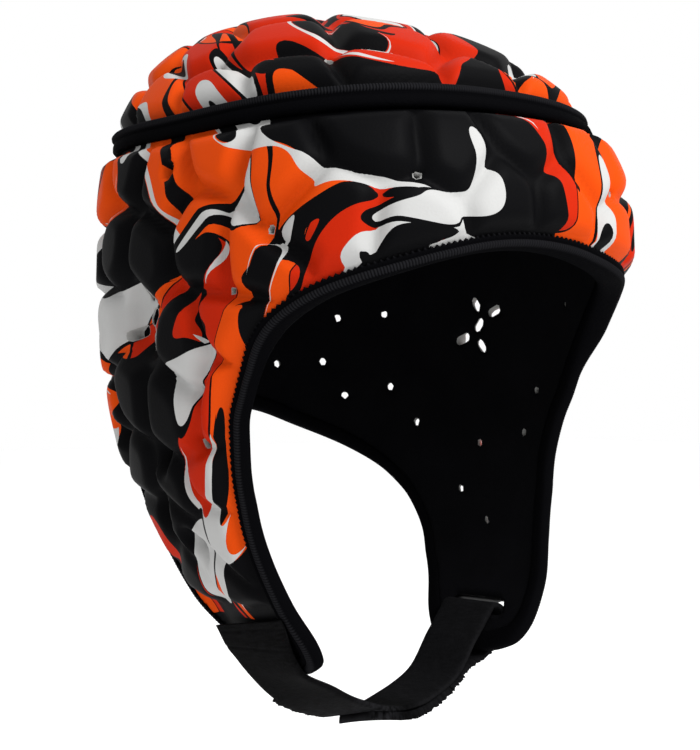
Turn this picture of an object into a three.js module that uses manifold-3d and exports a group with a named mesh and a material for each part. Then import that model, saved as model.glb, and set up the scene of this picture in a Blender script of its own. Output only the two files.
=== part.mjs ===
// Padded head guard in its worn form. Millimetres, +Z up, front is -Y, wearer's left is +X.
// The origin is the inside of the crown, over the middle of the head.
import * as THREE from 'three';
import { mergeVertices } from 'three/addons/utils/BufferGeometryUtils.js';
import ManifoldModule from 'manifold-3d';

const wasm = await ManifoldModule();
wasm.setup();
const { Manifold, Mesh } = wasm;

// Head form: the tops of the pads lie on this surface.
const HALF_WIDTH = 97;
const FRONT_REACH = 110.4;
const BACK_REACH = 103;
const CROWN_Z = 16.4;
const EQUATOR_Z = -76.6;
const CROWN_SHIFT = 31;
const DOME_POWER = 2.15;
const FRONT_SQUARENESS = 2.66;
const BACK_SQUARENESS = 2.2;

// Sections of the form below the equator: height, half width, and how far the middle lies behind Y = 0.
const SKIRT = [
  { z: -76.6, halfWidth: 97, middleY: 0 },
  { z: -112, halfWidth: 98, middleY: -1 },
  { z: -142, halfWidth: 95.5, middleY: -4 },
  { z: -162, halfWidth: 91.5, middleY: -7 },
  { z: -182, halfWidth: 88, middleY: -12 },
  { z: -202, halfWidth: 83, middleY: -20 },
  { z: -222, halfWidth: 75.5, middleY: -30 },
  { z: -237, halfWidth: 66, middleY: -35 },
  { z: -254, halfWidth: 53, middleY: -38 },
  { z: -266, halfWidth: 42, middleY: -39 },
];

// Outer edge of the binding on one side, from the brow down the face side of the flap and up to the
// nape: angle round the head from the front, in degrees, and height.
const RIM = [
  { angle: 0, z: -87 },
  { angle: 10, z: -88.3 },
  { angle: 20.5, z: -92.3 },
  { angle: 29.5, z: -96.8 },
  { angle: 37, z: -100.8 },
  { angle: 43.5, z: -105 },
  { angle: 49, z: -110 },
  { angle: 53.6, z: -115.6 },
  { angle: 57, z: -121.3 },
  { angle: 60, z: -127.6 },
  { angle: 63, z: -135.6 },
  { angle: 65.3, z: -143 },
  { angle: 67.8, z: -151 },
  { angle: 69.4, z: -159 },
  { angle: 71.2, z: -169 },
  { angle: 72.5, z: -181 },
  { angle: 74.3, z: -193 },
  { angle: 76.9, z: -213 },
  { angle: 78.6, z: -226 },
  { angle: 79.2, z: -240 },
  { angle: 82.2, z: -246.8 },
  { angle: 88, z: -250 },
  { angle: 96, z: -252 },
  { angle: 114, z: -252.5 },
  { angle: 123.5, z: -250 },
  { angle: 127, z: -243 },
  { angle: 127.8, z: -234 },
  { angle: 126.8, z: -217 },
  { angle: 125.7, z: -204 },
  { angle: 128.1, z: -190 },
  { angle: 131.4, z: -182.5 },
  { angle: 136.4, z: -174.8 },
  { angle: 145, z: -166.5 },
  { angle: 159, z: -156.4 },
  { angle: 169, z: -149.8 },
  { angle: 180, z: -146.5 },
];
const RIM_STEP = 10.5;

// Seam between crown and side panel.
const SEAM_Z = -37.5;
const SEAM_FRONT_RISE = 8.5;
const SEAM_STEPS = 52;
const SEAM_FLANGE = 4.6;
const SEAM_GAP = 0.4;

// Wall, measured inward from the pad tops.
const GROOVE_DEPTH = 6.5;
const VENT_DEPTH = 10.5;
const EDGE_DEPTH = 9;
const SEAM_DEPTH = 5;
const WALL_DEPTH = 13;
const LINING_GAP = 0.4;
const LINING_THICKNESS = 1.5;
const PAD_SHOULDER = 0.68;
const PAD_SHOULDER_RISE = 0.84;

// Flat pattern of the side panel: millimetres for each degree, and the flap's middle line.
const PATTERN_SCALE = 1.8;
const FLAP_ANGLE = 100;
const FLAP_TAPER_Z = -177;
const CROWN_SCALE = 97;
const NEIGHBOUR_REACH = 75;
const CORNER_MERGE = 0.05;

// Rows of pads on the side panel: height, zigzag of every second pad, extra height at the front, how
// far the pads stand out of the form, and the angles of the pads on one side.
const SIDE_PADS = [
  { z: -55, zigzag: 5, frontLift: 6, proud: 1.5, angles: [0, 18, 34, 52, 68, 85, 103, 120, 137, 154, 171] },
  { z: -86, zigzag: 3, frontLift: 15, proud: 1, angles: [9, 26, 42, 56, 73, 92, 110, 127, 144, 161, 180] },
  { z: -116, zigzag: 4, frontLift: 0, proud: 0.5, angles: [66, 80, 117, 131, 147, 164] },
  { z: -144, zigzag: 4, frontLift: 0, proud: 0, angles: [74, 90, 106, 122, 140, 157, 176] },
  { z: -172, zigzag: 5, frontLift: 0, proud: -1.5, angles: [81, 97, 114] },
  { z: -193, zigzag: -3, frontLift: 0, proud: -3, angles: [85, 101, 117] },
  { z: -211, zigzag: 0, frontLift: 0, proud: -4, angles: [93, 113] },
];
// Recess of the ear vent.
const EAR = { angle: 99, z: -110, depth: 10.5 };
// Flat tab at the foot of each flap, which carries the strap.
const FLAP_TAB = { z: -235, angles: [88, 104, 121] };
const TAB_TOP_Z = -214;
const TAB_BLEND = 6;

// Rings of pads on the crown: distance from the top along the dome, number of pads, turn, and how far
// they stand out of the form.
const CROWN_PADS = [
  { reach: 0, count: 1, turn: 0, proud: 0.5 },
  { reach: 36, count: 6, turn: 0, proud: 1 },
  { reach: 67, count: 11, turn: 16, proud: 1 },
  { reach: 96, count: 15, turn: 0, proud: 0 },
];
// Extra height of the crown pads towards the front.
const CROWN_FRONT_PROUD = 2;

// Vents: angle and height on one side. Each one is cut where the nearest pads meet.
const SIDE_VENTS = [
  { angle: 65, z: -102 },
  { angle: 77, z: -140 },
  { angle: 81, z: -159 },
  { angle: 99, z: -164 },
  { angle: 108, z: -185 },
  { angle: 99, z: -198 },
  { angle: 122, z: -156 },
  { angle: 130, z: -139 },
  { angle: 144, z: -143 },
  { angle: 150, z: -127 },
  { angle: 164, z: -128 },
  { angle: 145, z: -106 },
  { angle: 131, z: -104 },
  { angle: 82, z: -57 },
  { angle: 55, z: -81 },
  { angle: 26, z: -62 },
];
const CROWN_VENTS = [
  { angle: 38, reach: 82 },
  { angle: 72, reach: 82 },
  { angle: 128, reach: 82 },
];
const VENT_RADIUS = 2.1;
const CUT_DEPTH = 22;

// Ear vent: five slots round a point on the side, with offsets, turn from level and length.
const EAR_SLOTS = [
  { along: 0, up: 0, turn: -49, length: 8 },
  { along: 1.5, up: 9.8, turn: 52, length: 7.5 },
  { along: -11, up: 6.5, turn: -20, length: 9.5 },
  { along: 11, up: -6.5, turn: -20, length: 9.5 },
  { along: -1.5, up: -9.8, turn: 52, length: 7.5 },
];
const EAR_SLOT_WIDTH = 3.4;

// Tape section: across the seam and inward from the pad tops. Binding: width, gap to the panel's edge,
// height above it, bevel of its outer edge, and rounding inside.
const SEAM_TAPE = [
  { across: -4, depth: 4.5 },
  { across: 4, depth: 4.5 },
  { across: 4, depth: 2.8 },
  { across: 1.2, depth: 0.8 },
  { across: -4, depth: 2.8 },
];
const BINDING_WIDTH = 6.5;
const BINDING_GAP = 0.35;
const BINDING_LIFT = 0.4;
const BINDING_BEVEL = 3;
const BINDING_ROUND = 1.8;
const BINDING_INNER_DEPTH = 15.2;

// Chin strap: middle line from its sewn base on the right flap, under the chin, up inside the left
// flap, through the slot and back down outside. Heights follow the flap, and the front edge lies higher.
const STRAP_Y = -17;
const STRAP_WIDTH = 27;
const STRAP_BASE_WIDTH = 46;
const STRAP_BASE_SHARE = 0.3;
const STRAP_THICKNESS = 2;
const STRAP_OUTER_DEPTH = 7.1;
const STRAP_INNER_DEPTH = 18;
const STRAP_FOLD_GAP = 0.5;
const STRAP_LEAN = 0.095;
const STRAP_LEAN_REACH = 55;
const STRAP_TILT = 0.28;
const STRAP_TILT_MIDDLE = -14;
const STRAP_TILT_REACH = 44;
const STRAP_TILT_FADE = 26;
const STRAP_STATIONS = 60;
const STRAP_BASE = [-229, -237, -245, -250];
const STRAP_LOOP = [
  { x: -36, z: -256 },
  { x: -20, z: -262.5 },
  { x: -4, z: -267 },
  { x: 11, z: -266 },
  { x: 25, z: -259.5 },
  { x: 34, z: -252 },
];
const STRAP_RISE = [-252, -247, -242];
const STRAP_FALL = [-243, -249];
// Points of the loop that the folded end follows.
const STRAP_FOLD_POINTS = 4;
const STRAP_TUCK = { x: 45.2, z: -249.2 };
// Turn of the strap at the slot: height below the slot, and distances from the two faces.
const STRAP_TURN = { below: 1.4, start: 0.4, middle: 3.4 };
const SLOT = { z: -236, length: 33, width: 6.5 };

const RADIANS = Math.PI / 180;
// Fineness of the curves and of the form's slope.
const ARC_DIVISIONS = 2000;
const SKIRT_SAMPLES = 180;
const NORMAL_STEP = 0.5;

function mix(a, b, t) {
  return a + (b - a) * t;
}

function smooth(t) {
  const s = Math.min(1, Math.max(0, t));
  return s * s * (3 - 2 * s);
}

// Values of the skirt table at one height, through a smooth curve.
const skirtCurve = new THREE.CatmullRomCurve3(
  SKIRT.map((row) => new THREE.Vector3(row.halfWidth, row.middleY, row.z)),
);
const skirtSamples = skirtCurve.getPoints(SKIRT_SAMPLES);

function skirt(z) {
  const floor = skirtSamples.length - 1;
  let index = 0;
  while (index < floor - 1 && skirtSamples[index + 1].z > z) {
    index += 1;
  }
  const above = skirtSamples[index];
  const below = skirtSamples[index + 1];
  const t = (above.z - z) / (above.z - below.z);
  return { halfWidth: mix(above.x, below.x, t), middleY: mix(above.y, below.y, t) };
}

// One level section of the form: half width, middle, and the share of the full section that is left.
function section(z) {
  if (z <= EQUATOR_Z) {
    return { ...skirt(z), share: 1 };
  }
  const height = Math.min(1, (z - EQUATOR_Z) / (CROWN_Z - EQUATOR_Z));
  const share = (1 - height ** DOME_POWER) ** (1 / DOME_POWER);
  return { halfWidth: HALF_WIDTH, middleY: CROWN_SHIFT * height * height, share };
}

// How far out a point lies in a section, as a share of the full section.
function sectionReach(x, y, halfWidth, middleY) {
  const ahead = y < middleY;
  const power = ahead ? FRONT_SQUARENESS : BACK_SQUARENESS;
  const length = ahead ? FRONT_REACH : BACK_REACH;
  const across = Math.abs(x / halfWidth) ** power;
  const along = Math.abs((y - middleY) / length) ** power;
  return (across + along) ** (1 / power);
}

function formPoint(angle, z) {
  const { halfWidth, middleY, share } = section(z);
  const x = Math.sin(angle * RADIANS);
  const y = -Math.cos(angle * RADIANS);
  const reach = share / sectionReach(x, y, halfWidth, 0);
  return new THREE.Vector3(x * reach, middleY + y * reach, z);
}

function formNormal(point) {
  const onDome = point.z > EQUATOR_Z;
  const level = (x, y, z) => {
    if (!onDome) {
      const { halfWidth, middleY } = skirt(z);
      return sectionReach(x, y, halfWidth, middleY);
    }
    const height = (z - EQUATOR_Z) / (CROWN_Z - EQUATOR_Z);
    const middleY = CROWN_SHIFT * height * height;
    const reach = sectionReach(x, y, HALF_WIDTH, middleY);
    return reach ** DOME_POWER + Math.max(0, height) ** DOME_POWER;
  };
  const step = NORMAL_STEP;
  const { x, y, z } = point;
  return new THREE.Vector3(
    level(x + step, y, z) - level(x - step, y, z),
    level(x, y + step, z) - level(x, y - step, z),
    level(x, y, z + step) - level(x, y, z - step),
  ).normalize();
}

function wallPoint(angle, z, depth) {
  const point = formPoint(angle, z);
  return point.addScaledVector(formNormal(point), -depth);
}

function seamZ(angle) {
  return SEAM_Z + SEAM_FRONT_RISE * Math.max(0, Math.cos(angle * RADIANS)) ** 2;
}

// Flat pattern of the side panel: millimetres round the head and height. The flaps taper with the form.
function patternScale(z) {
  const taper = skirt(Math.min(z, FLAP_TAPER_Z)).halfWidth / skirt(FLAP_TAPER_Z).halfWidth;
  return PATTERN_SCALE * taper;
}

function sidePattern(angle, z) {
  const fromFlap = (Math.abs(angle) - FLAP_ANGLE) * patternScale(z);
  return new THREE.Vector2(Math.sign(angle) * (FLAP_ANGLE * PATTERN_SCALE + fromFlap), z);
}

const SIDE_GIRTH = 360 * PATTERN_SCALE;

function sideAngle(flat) {
  const turns = Math.round(flat.x / SIDE_GIRTH);
  const x = flat.x - turns * SIDE_GIRTH;
  const fromFlap = (Math.abs(x) - FLAP_ANGLE * PATTERN_SCALE) / patternScale(flat.y);
  return Math.sign(x) * (FLAP_ANGLE + fromFlap);
}

function sideWall(flat, depth) {
  return wallPoint(sideAngle(flat), flat.y, depth);
}

// Flat pattern of the crown: distance from the top along the dome, in the direction of the angle.
function domeZ(reach) {
  const height = Math.cos(reach / CROWN_SCALE) ** (2 / DOME_POWER);
  return mix(EQUATOR_Z, CROWN_Z, height);
}

function domeReach(z) {
  const height = (z - EQUATOR_Z) / (CROWN_Z - EQUATOR_Z);
  return CROWN_SCALE * Math.acos(height ** (DOME_POWER / 2));
}

function crownPattern(angle, reach) {
  return new THREE.Vector2(Math.sin(angle * RADIANS) * reach, -Math.cos(angle * RADIANS) * reach);
}

function crownWall(flat, depth) {
  const angle = Math.atan2(flat.x, -flat.y) / RADIANS;
  return wallPoint(angle, domeZ(flat.length()), depth);
}

// Share of the flat tab at the foot of a flap.
function tabShare(z) {
  return smooth((TAB_TOP_Z - z) / TAB_BLEND);
}

// Both sides of a list of angles: middle values once, others mirrored.
function bothSides(rows) {
  const mirrored = rows.filter((row) => row.angle !== 0 && row.angle !== 180);
  return rows.concat(mirrored.map((row) => ({ ...row, angle: -row.angle })));
}

// Outline of the side panel in the flat pattern. The rim runs from the back round the right side and
// the front to the back again, and keeps equal steps.
function rimOutline() {
  const half = RIM.map((row) => sidePattern(row.angle, row.z));
  half[0].x = 0;
  const mirror = half.slice(1).reverse().map((flat) => new THREE.Vector2(-flat.x, flat.y));
  const curve = new THREE.CatmullRomCurve3(
    mirror.concat(half).map((flat) => new THREE.Vector3(flat.x, flat.y, 0)),
    false,
    'centripetal',
  );
  curve.arcLengthDivisions = ARC_DIVISIONS;
  const steps = Math.round(curve.getLength() / RIM_STEP / 2) * 2;
  const spaced = curve.getSpacedPoints(steps).slice(0, steps);
  return spaced.map((point, index) => {
    const tangent = curve.getTangentAt(index / steps);
    const outward = new THREE.Vector2(tangent.y, -tangent.x).normalize();
    const edge = new THREE.Vector2(point.x, point.y);
    return { flat: edge.addScaledVector(outward, -BINDING_WIDTH), outward };
  });
}

function seamOutline() {
  return Array.from({ length: SEAM_STEPS }, (_, index) => -180 + (360 * index) / SEAM_STEPS);
}

// Cuts a polygon along the line halfway between a pad's middle and its neighbour's. Each corner keeps
// the kind of the edge that follows it: groove, seam or rim.
function cutCell(polygon, middle, neighbour) {
  const toward = neighbour.clone().sub(middle);
  const limit = toward.dot(neighbour.clone().add(middle).multiplyScalar(0.5));
  const kept = [];
  polygon.forEach((corner, index) => {
    const next = polygon[(index + 1) % polygon.length];
    const here = toward.dot(corner.flat) - limit;
    const there = toward.dot(next.flat) - limit;
    if (here <= 0) {
      kept.push(corner);
    }
    if (here <= 0 !== there <= 0) {
      const flat = corner.flat.clone().lerp(next.flat, here / (here - there));
      kept.push({ flat, kind: here <= 0 ? 'groove' : corner.kind });
    }
  });
  return kept;
}

// Middle of a polygon's area.
function centroid(loop) {
  const total = new THREE.Vector2();
  let area = 0;
  loop.forEach((from, index) => {
    const to = loop[(index + 1) % loop.length];
    const piece = from.cross(to);
    area += piece;
    total.addScaledVector(from, piece).addScaledVector(to, piece);
  });
  return total.divideScalar(3 * area);
}

// Opens a six-sided vent in a pad's outline where one of its corners is the middle of a vent.
function openVents(edges, vents, sharedCorner) {
  return edges.flatMap((edge, index) => {
    const before = edges[(index + edges.length - 1) % edges.length];
    const after = edges[(index + 1) % edges.length];
    const start = edge.flat.clone();
    const opened = [];
    if (vents.includes(edge.from)) {
      const back = before.flat.clone().sub(edge.flat).setLength(VENT_RADIUS);
      const ahead = after.flat.clone().sub(edge.flat).setLength(VENT_RADIUS);
      const inside = back.clone().add(ahead).setLength(VENT_RADIUS);
      const [first, second, third] = [back, inside, ahead].map((arm) => arm.add(edge.flat));
      opened.push({ flat: first, kind: 'vent' }, { flat: second, kind: 'vent' });
      start.copy(third);
    }
    opened.push({ flat: start, kind: edge.kind });
    return opened;
  }).map((corner, index, all) => {
    const next = all[(index + 1) % all.length];
    return { ...corner, from: sharedCorner(corner.flat), to: sharedCorner(next.flat) };
  });
}

// Pads of one panel: each pad's outline in the flat pattern, with corners shared between neighbours.
// Grooves run out at the stations of the panel's edge, and vents open where pads meet.
function padCells({ pads, outlineNear, girth, ventSpots }) {
  const known = [];
  const apart = (a, b) => {
    const dx = a.x - b.x;
    return Math.hypot(girth ? dx - girth * Math.round(dx / girth) : dx, a.y - b.y);
  };
  const sharedCorner = (flat) => {
    let found = known.find((corner) => apart(corner.flat, flat) < CORNER_MERGE);
    if (!found) {
      found = { flat: flat.clone(), groove: false, seam: false, rim: false, vent: false };
      known.push(found);
    }
    return found;
  };
  const copies = girth ? [-girth, 0, girth] : [0];
  const outlines = pads.map((pad) => {
    const stations = outlineNear(pad.flat);
    let polygon = stations;
    pads.forEach((other) => {
      copies.forEach((shift) => {
        const neighbour = other.flat.clone();
        neighbour.x += shift;
        const gap = neighbour.distanceTo(pad.flat);
        if (gap > CORNER_MERGE && gap < 2 * NEIGHBOUR_REACH) {
          polygon = cutCell(polygon, pad.flat, neighbour);
        }
      });
    });
    const settled = polygon.map((corner, index) => {
      const before = polygon[(index + polygon.length - 1) % polygon.length];
      const onEdge = corner.kind !== 'groove' || before.kind !== 'groove';
      const nearer = (best, station) => {
        return station.flat.distanceTo(corner.flat) < best.flat.distanceTo(corner.flat) ? station : best;
      };
      const flat = onEdge ? stations.reduce(nearer).flat : corner.flat;
      return { flat, kind: corner.kind };
    });
    return settled
      .map((corner, index) => {
        const next = settled[(index + 1) % settled.length];
        return { ...corner, from: sharedCorner(corner.flat), to: sharedCorner(next.flat) };
      })
      .filter((edge) => edge.from !== edge.to);
  });
  outlines.flat().forEach(({ from, to, kind }) => {
    from[kind] = true;
    to[kind] = true;
  });
  const free = known.filter((corner) => corner.groove && !corner.seam && !corner.rim);
  const vents = ventSpots.map((spot) => {
    const nearer = (best, corner) => (apart(corner.flat, spot) < apart(best.flat, spot) ? corner : best);
    const meeting = free.reduce(nearer);
    free.splice(free.indexOf(meeting), 1);
    const turns = girth ? Math.round((meeting.flat.x - spot.x) / girth) : 0;
    meeting.shift = new THREE.Vector2(spot.x + turns * girth, spot.y).sub(meeting.flat);
    return meeting;
  });
  const cells = outlines.map((edges, index) => {
    const drawn = edges.map((edge) => {
      const { shift } = edge.from;
      return shift ? { ...edge, flat: edge.flat.clone().add(shift) } : edge;
    });
    const opened = openVents(drawn, vents, sharedCorner);
    return { pad: pads[index], edges: opened, middle: centroid(opened.map((edge) => edge.flat)) };
  });
  cells.flatMap(({ edges }) => edges).filter((edge) => edge.kind === 'vent').forEach(({ from, to }) => {
    from.vent = true;
    to.vent = true;
  });
  const corners = [...new Set(cells.flatMap(({ edges }) => edges.map((edge) => edge.from)))];
  corners.forEach((corner, index) => {
    corner.index = index;
  });
  return { cells, corners };
}

// Solid from points and triangles that are added one by one.
function solidBuilder() {
  const points = [];
  const triangles = [];
  return {
    add(point) {
      points.push(point.x, point.y, point.z);
      return points.length / 3 - 1;
    },
    face(...loop) {
      for (let index = 1; index < loop.length - 1; index += 1) {
        triangles.push(loop[0], loop[index], loop[index + 1]);
      }
    },
    solid() {
      const mesh = new Mesh({
        numProp: 3,
        vertProperties: new Float32Array(points),
        triVerts: new Uint32Array(triangles),
      });
      return new Manifold(mesh);
    },
  };
}

// Padded panel: pads rise from grooves, a flat flange runs along the seam, the inside is plain.
function paddedPanel(plan) {
  const { cells, corners, wall, flangeOut, cornerDepth } = plan;
  const builder = solidBuilder();
  const outer = corners.map((corner) => builder.add(wall(corner.flat, cornerDepth(corner))));
  const flange = corners.map((corner) => {
    return corner.seam ? builder.add(wall(flangeOut(corner.flat), SEAM_DEPTH)) : outer[corner.index];
  });
  const inner = corners.map((corner) => {
    return builder.add(wall(corner.seam ? flangeOut(corner.flat) : corner.flat, WALL_DEPTH));
  });
  cells.forEach(({ pad, edges, middle }) => {
    const inside = builder.add(wall(middle, WALL_DEPTH));
    const padDepth = (corner, rise) => mix(cornerDepth(corner), pad.topDepth, rise);
    const top = builder.add(wall(middle, pad.topDepth));
    const shoulder = edges.map((edge) => {
      const flat = middle.clone().lerp(edge.flat, PAD_SHOULDER);
      return builder.add(wall(flat, padDepth(edge.from, PAD_SHOULDER_RISE)));
    });
    edges.forEach(({ from, to, kind }, index) => {
      const a = from.index;
      const b = to.index;
      const next = (index + 1) % edges.length;
      builder.face(outer[a], outer[b], shoulder[next], shoulder[index]);
      builder.face(shoulder[index], shoulder[next], top);
      builder.face(inner[b], inner[a], inside);
      if (kind === 'seam') {
        builder.face(outer[b], outer[a], flange[a], flange[b]);
      }
      if (kind !== 'groove') {
        builder.face(flange[b], flange[a], inner[a], inner[b]);
      }
    });
  });
  return builder.solid();
}

// Lining: a thin sheet that follows the plain inside of a panel.
function liningSheet(plan) {
  const { cells, corners, wall, flangeOut } = plan;
  const builder = solidBuilder();
  const sheet = (depth) => corners.map((corner) => {
    return builder.add(wall(corner.seam ? flangeOut(corner.flat) : corner.flat, depth));
  });
  const outer = sheet(WALL_DEPTH + LINING_GAP);
  const inner = sheet(WALL_DEPTH + LINING_GAP + LINING_THICKNESS);
  cells.forEach(({ edges, middle }) => {
    const front = builder.add(wall(middle, WALL_DEPTH + LINING_GAP));
    const back = builder.add(wall(middle, WALL_DEPTH + LINING_GAP + LINING_THICKNESS));
    edges.forEach(({ from, to, kind }) => {
      const a = from.index;
      const b = to.index;
      builder.face(outer[a], outer[b], front);
      builder.face(inner[b], inner[a], back);
      if (kind !== 'groove') {
        builder.face(outer[b], outer[a], inner[a], inner[b]);
      }
    });
  });
  return builder.solid();
}

// Closed band: the same section at every station of a loop.
function closedBand(stations) {
  const builder = solidBuilder();
  const rings = stations.map((ring) => ring.map((point) => builder.add(point)));
  rings.forEach((ring, station) => {
    const next = rings[(station + 1) % rings.length];
    ring.forEach((corner, side) => {
      const beside = (side + 1) % ring.length;
      builder.face(corner, ring[beside], next[beside], next[side]);
    });
  });
  return builder.solid();
}

// Open band with plain ends.
function openBand(stations) {
  const builder = solidBuilder();
  const rings = stations.map((ring) => ring.map((point) => builder.add(point)));
  rings.slice(0, -1).forEach((ring, station) => {
    const next = rings[station + 1];
    ring.forEach((corner, side) => {
      const beside = (side + 1) % ring.length;
      builder.face(corner, ring[beside], next[beside], next[side]);
    });
  });
  builder.face(...rings[0].slice().reverse());
  builder.face(...rings[rings.length - 1]);
  return builder.solid();
}

// Plans of the two panels.
const rim = rimOutline();
const seamAngles = seamOutline();

function sideOutlineNear(middle) {
  const local = (flat, kind) => {
    const turns = Math.round((middle.x - flat.x) / SIDE_GIRTH);
    return { flat: new THREE.Vector2(flat.x + turns * SIDE_GIRTH, flat.y), kind };
  };
  const near = (corner) => Math.abs(corner.flat.x - middle.x) < 2 * NEIGHBOUR_REACH;
  const byPlace = (a, b) => a.flat.x - b.flat.x;
  const lower = rim.map(({ flat }) => local(flat, 'rim')).filter(near).sort(byPlace);
  const upper = seamAngles
    .map((angle) => local(sidePattern(angle, seamZ(angle) - SEAM_GAP - SEAM_FLANGE), 'seam'))
    .filter(near)
    .sort(byPlace)
    .reverse();
  return lower.concat(upper);
}

function sidePads() {
  const rows = SIDE_PADS.flatMap(({ z, zigzag, frontLift, proud, angles }) => angles.map((angle, index) => {
    const ahead = Math.max(0, Math.cos(angle * RADIANS)) ** 2;
    const sway = index % 2 === 0 ? zigzag : -zigzag;
    return { angle, z: z + sway + frontLift * ahead, topDepth: -proud };
  }));
  const ear = { angle: EAR.angle, z: EAR.z, topDepth: EAR.depth };
  const tab = FLAP_TAB.angles.map((angle) => ({ angle, z: FLAP_TAB.z, topDepth: EDGE_DEPTH }));
  return bothSides(rows.concat(ear, tab)).map((pad) => ({ ...pad, flat: sidePattern(pad.angle, pad.z) }));
}

const sidePlan = {
  ...padCells({
    pads: sidePads(),
    outlineNear: sideOutlineNear,
    girth: SIDE_GIRTH,
    ventSpots: bothSides(SIDE_VENTS).map(({ angle, z }) => sidePattern(angle, z)),
  }),
  wall: sideWall,
  flangeOut: (flat) => new THREE.Vector2(flat.x, flat.y + SEAM_FLANGE),
  cornerDepth: ({ flat, seam, rim: onRim, vent }) => {
    if (seam) {
      return SEAM_DEPTH;
    }
    if (onRim) {
      return EDGE_DEPTH;
    }
    return vent ? VENT_DEPTH : mix(GROOVE_DEPTH, EDGE_DEPTH, tabShare(flat.y));
  },
};

function crownPads() {
  return CROWN_PADS.flatMap(({ reach, count, turn, proud }) => Array.from({ length: count }, (_, index) => {
    const angle = turn + (360 * index) / count;
    const ahead = Math.max(0, Math.cos(angle * RADIANS)) * Math.min(1, reach / CROWN_SCALE);
    return { flat: crownPattern(angle, reach), topDepth: -proud - CROWN_FRONT_PROUD * ahead };
  }));
}

const crownOutline = seamAngles.map((angle) => {
  const reach = domeReach(seamZ(angle) + SEAM_GAP) - SEAM_FLANGE;
  return { flat: crownPattern(angle, reach), kind: 'seam' };
});

const crownPlan = {
  ...padCells({
    pads: crownPads(),
    outlineNear: () => crownOutline,
    girth: 0,
    ventSpots: bothSides(CROWN_VENTS).map(({ angle, reach }) => crownPattern(angle, reach)),
  }),
  wall: crownWall,
  flangeOut: (flat) => flat.clone().setLength(flat.length() + SEAM_FLANGE),
  cornerDepth: ({ seam, vent }) => {
    if (seam) {
      return SEAM_DEPTH;
    }
    return vent ? VENT_DEPTH : GROOVE_DEPTH;
  },
};

// Cutters for the ear vents and the strap slot, set square to the wall.
function cutter(geometry, flat, wall, turn) {
  const base = wall(flat, WALL_DEPTH);
  const out = wall(flat, 0).sub(base).normalize();
  const along = wall(new THREE.Vector2(flat.x + 1, flat.y), WALL_DEPTH).sub(base);
  along.addScaledVector(out, -along.dot(out)).normalize();
  const up = out.clone().cross(along);
  const place = new THREE.Matrix4().makeBasis(along, up, out);
  place.setPosition(base.addScaledVector(out, WALL_DEPTH / 2));
  const shape = geometry.clone().rotateZ(turn * RADIANS).applyMatrix4(place);
  shape.deleteAttribute('normal');
  shape.deleteAttribute('uv');
  const closed = mergeVertices(shape);
  return new Manifold(new Mesh({
    numProp: 3,
    vertProperties: new Float32Array(closed.attributes.position.array),
    triVerts: new Uint32Array(closed.index.array),
  }));
}

const sideCuts = [];
[1, -1].forEach((side) => EAR_SLOTS.forEach(({ along, up, turn, length }) => {
  const flat = sidePattern(side * EAR.angle, EAR.z);
  flat.add(new THREE.Vector2(side * along, up));
  const tool = new THREE.BoxGeometry(length, EAR_SLOT_WIDTH, CUT_DEPTH);
  sideCuts.push(cutter(tool, flat, sideWall, side * turn));
}));

function flapAngle(z) {
  const { halfWidth, middleY } = skirt(z);
  const along = STRAP_Y - middleY;
  const reach = Math.abs(along) / BACK_REACH;
  const x = halfWidth * (1 - reach ** BACK_SQUARENESS) ** (1 / BACK_SQUARENESS);
  return Math.atan2(x, -along) / RADIANS;
}

const slotTool = new THREE.BoxGeometry(SLOT.length, SLOT.width, CUT_DEPTH);
sideCuts.push(cutter(slotTool, sidePattern(flapAngle(SLOT.z), SLOT.z), sideWall, 0));

function pierce(solid, cuts) {
  return cuts.reduce((left, cut) => left.subtract(cut), solid);
}

// Seam tape and edge binding.
function seamTape() {
  return closedBand(seamAngles.map((angle) => SEAM_TAPE.map(({ across, depth }) => {
    return wallPoint(angle, seamZ(angle) + across, depth);
  })));
}

function edgeBinding() {
  return closedBand(rim.map(({ flat, outward }) => {
    const top = EDGE_DEPTH - BINDING_LIFT;
    const low = BINDING_INNER_DEPTH;
    const corners = [
      [BINDING_GAP, top],
      [BINDING_WIDTH - BINDING_BEVEL, top],
      [BINDING_WIDTH, top + BINDING_BEVEL],
      [BINDING_WIDTH, low - BINDING_ROUND],
      [BINDING_WIDTH - BINDING_ROUND, low],
      [BINDING_GAP, low],
    ];
    return corners.map(([across, depth]) => {
      return sideWall(flat.clone().addScaledVector(outward, across), depth);
    });
  }));
}

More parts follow.
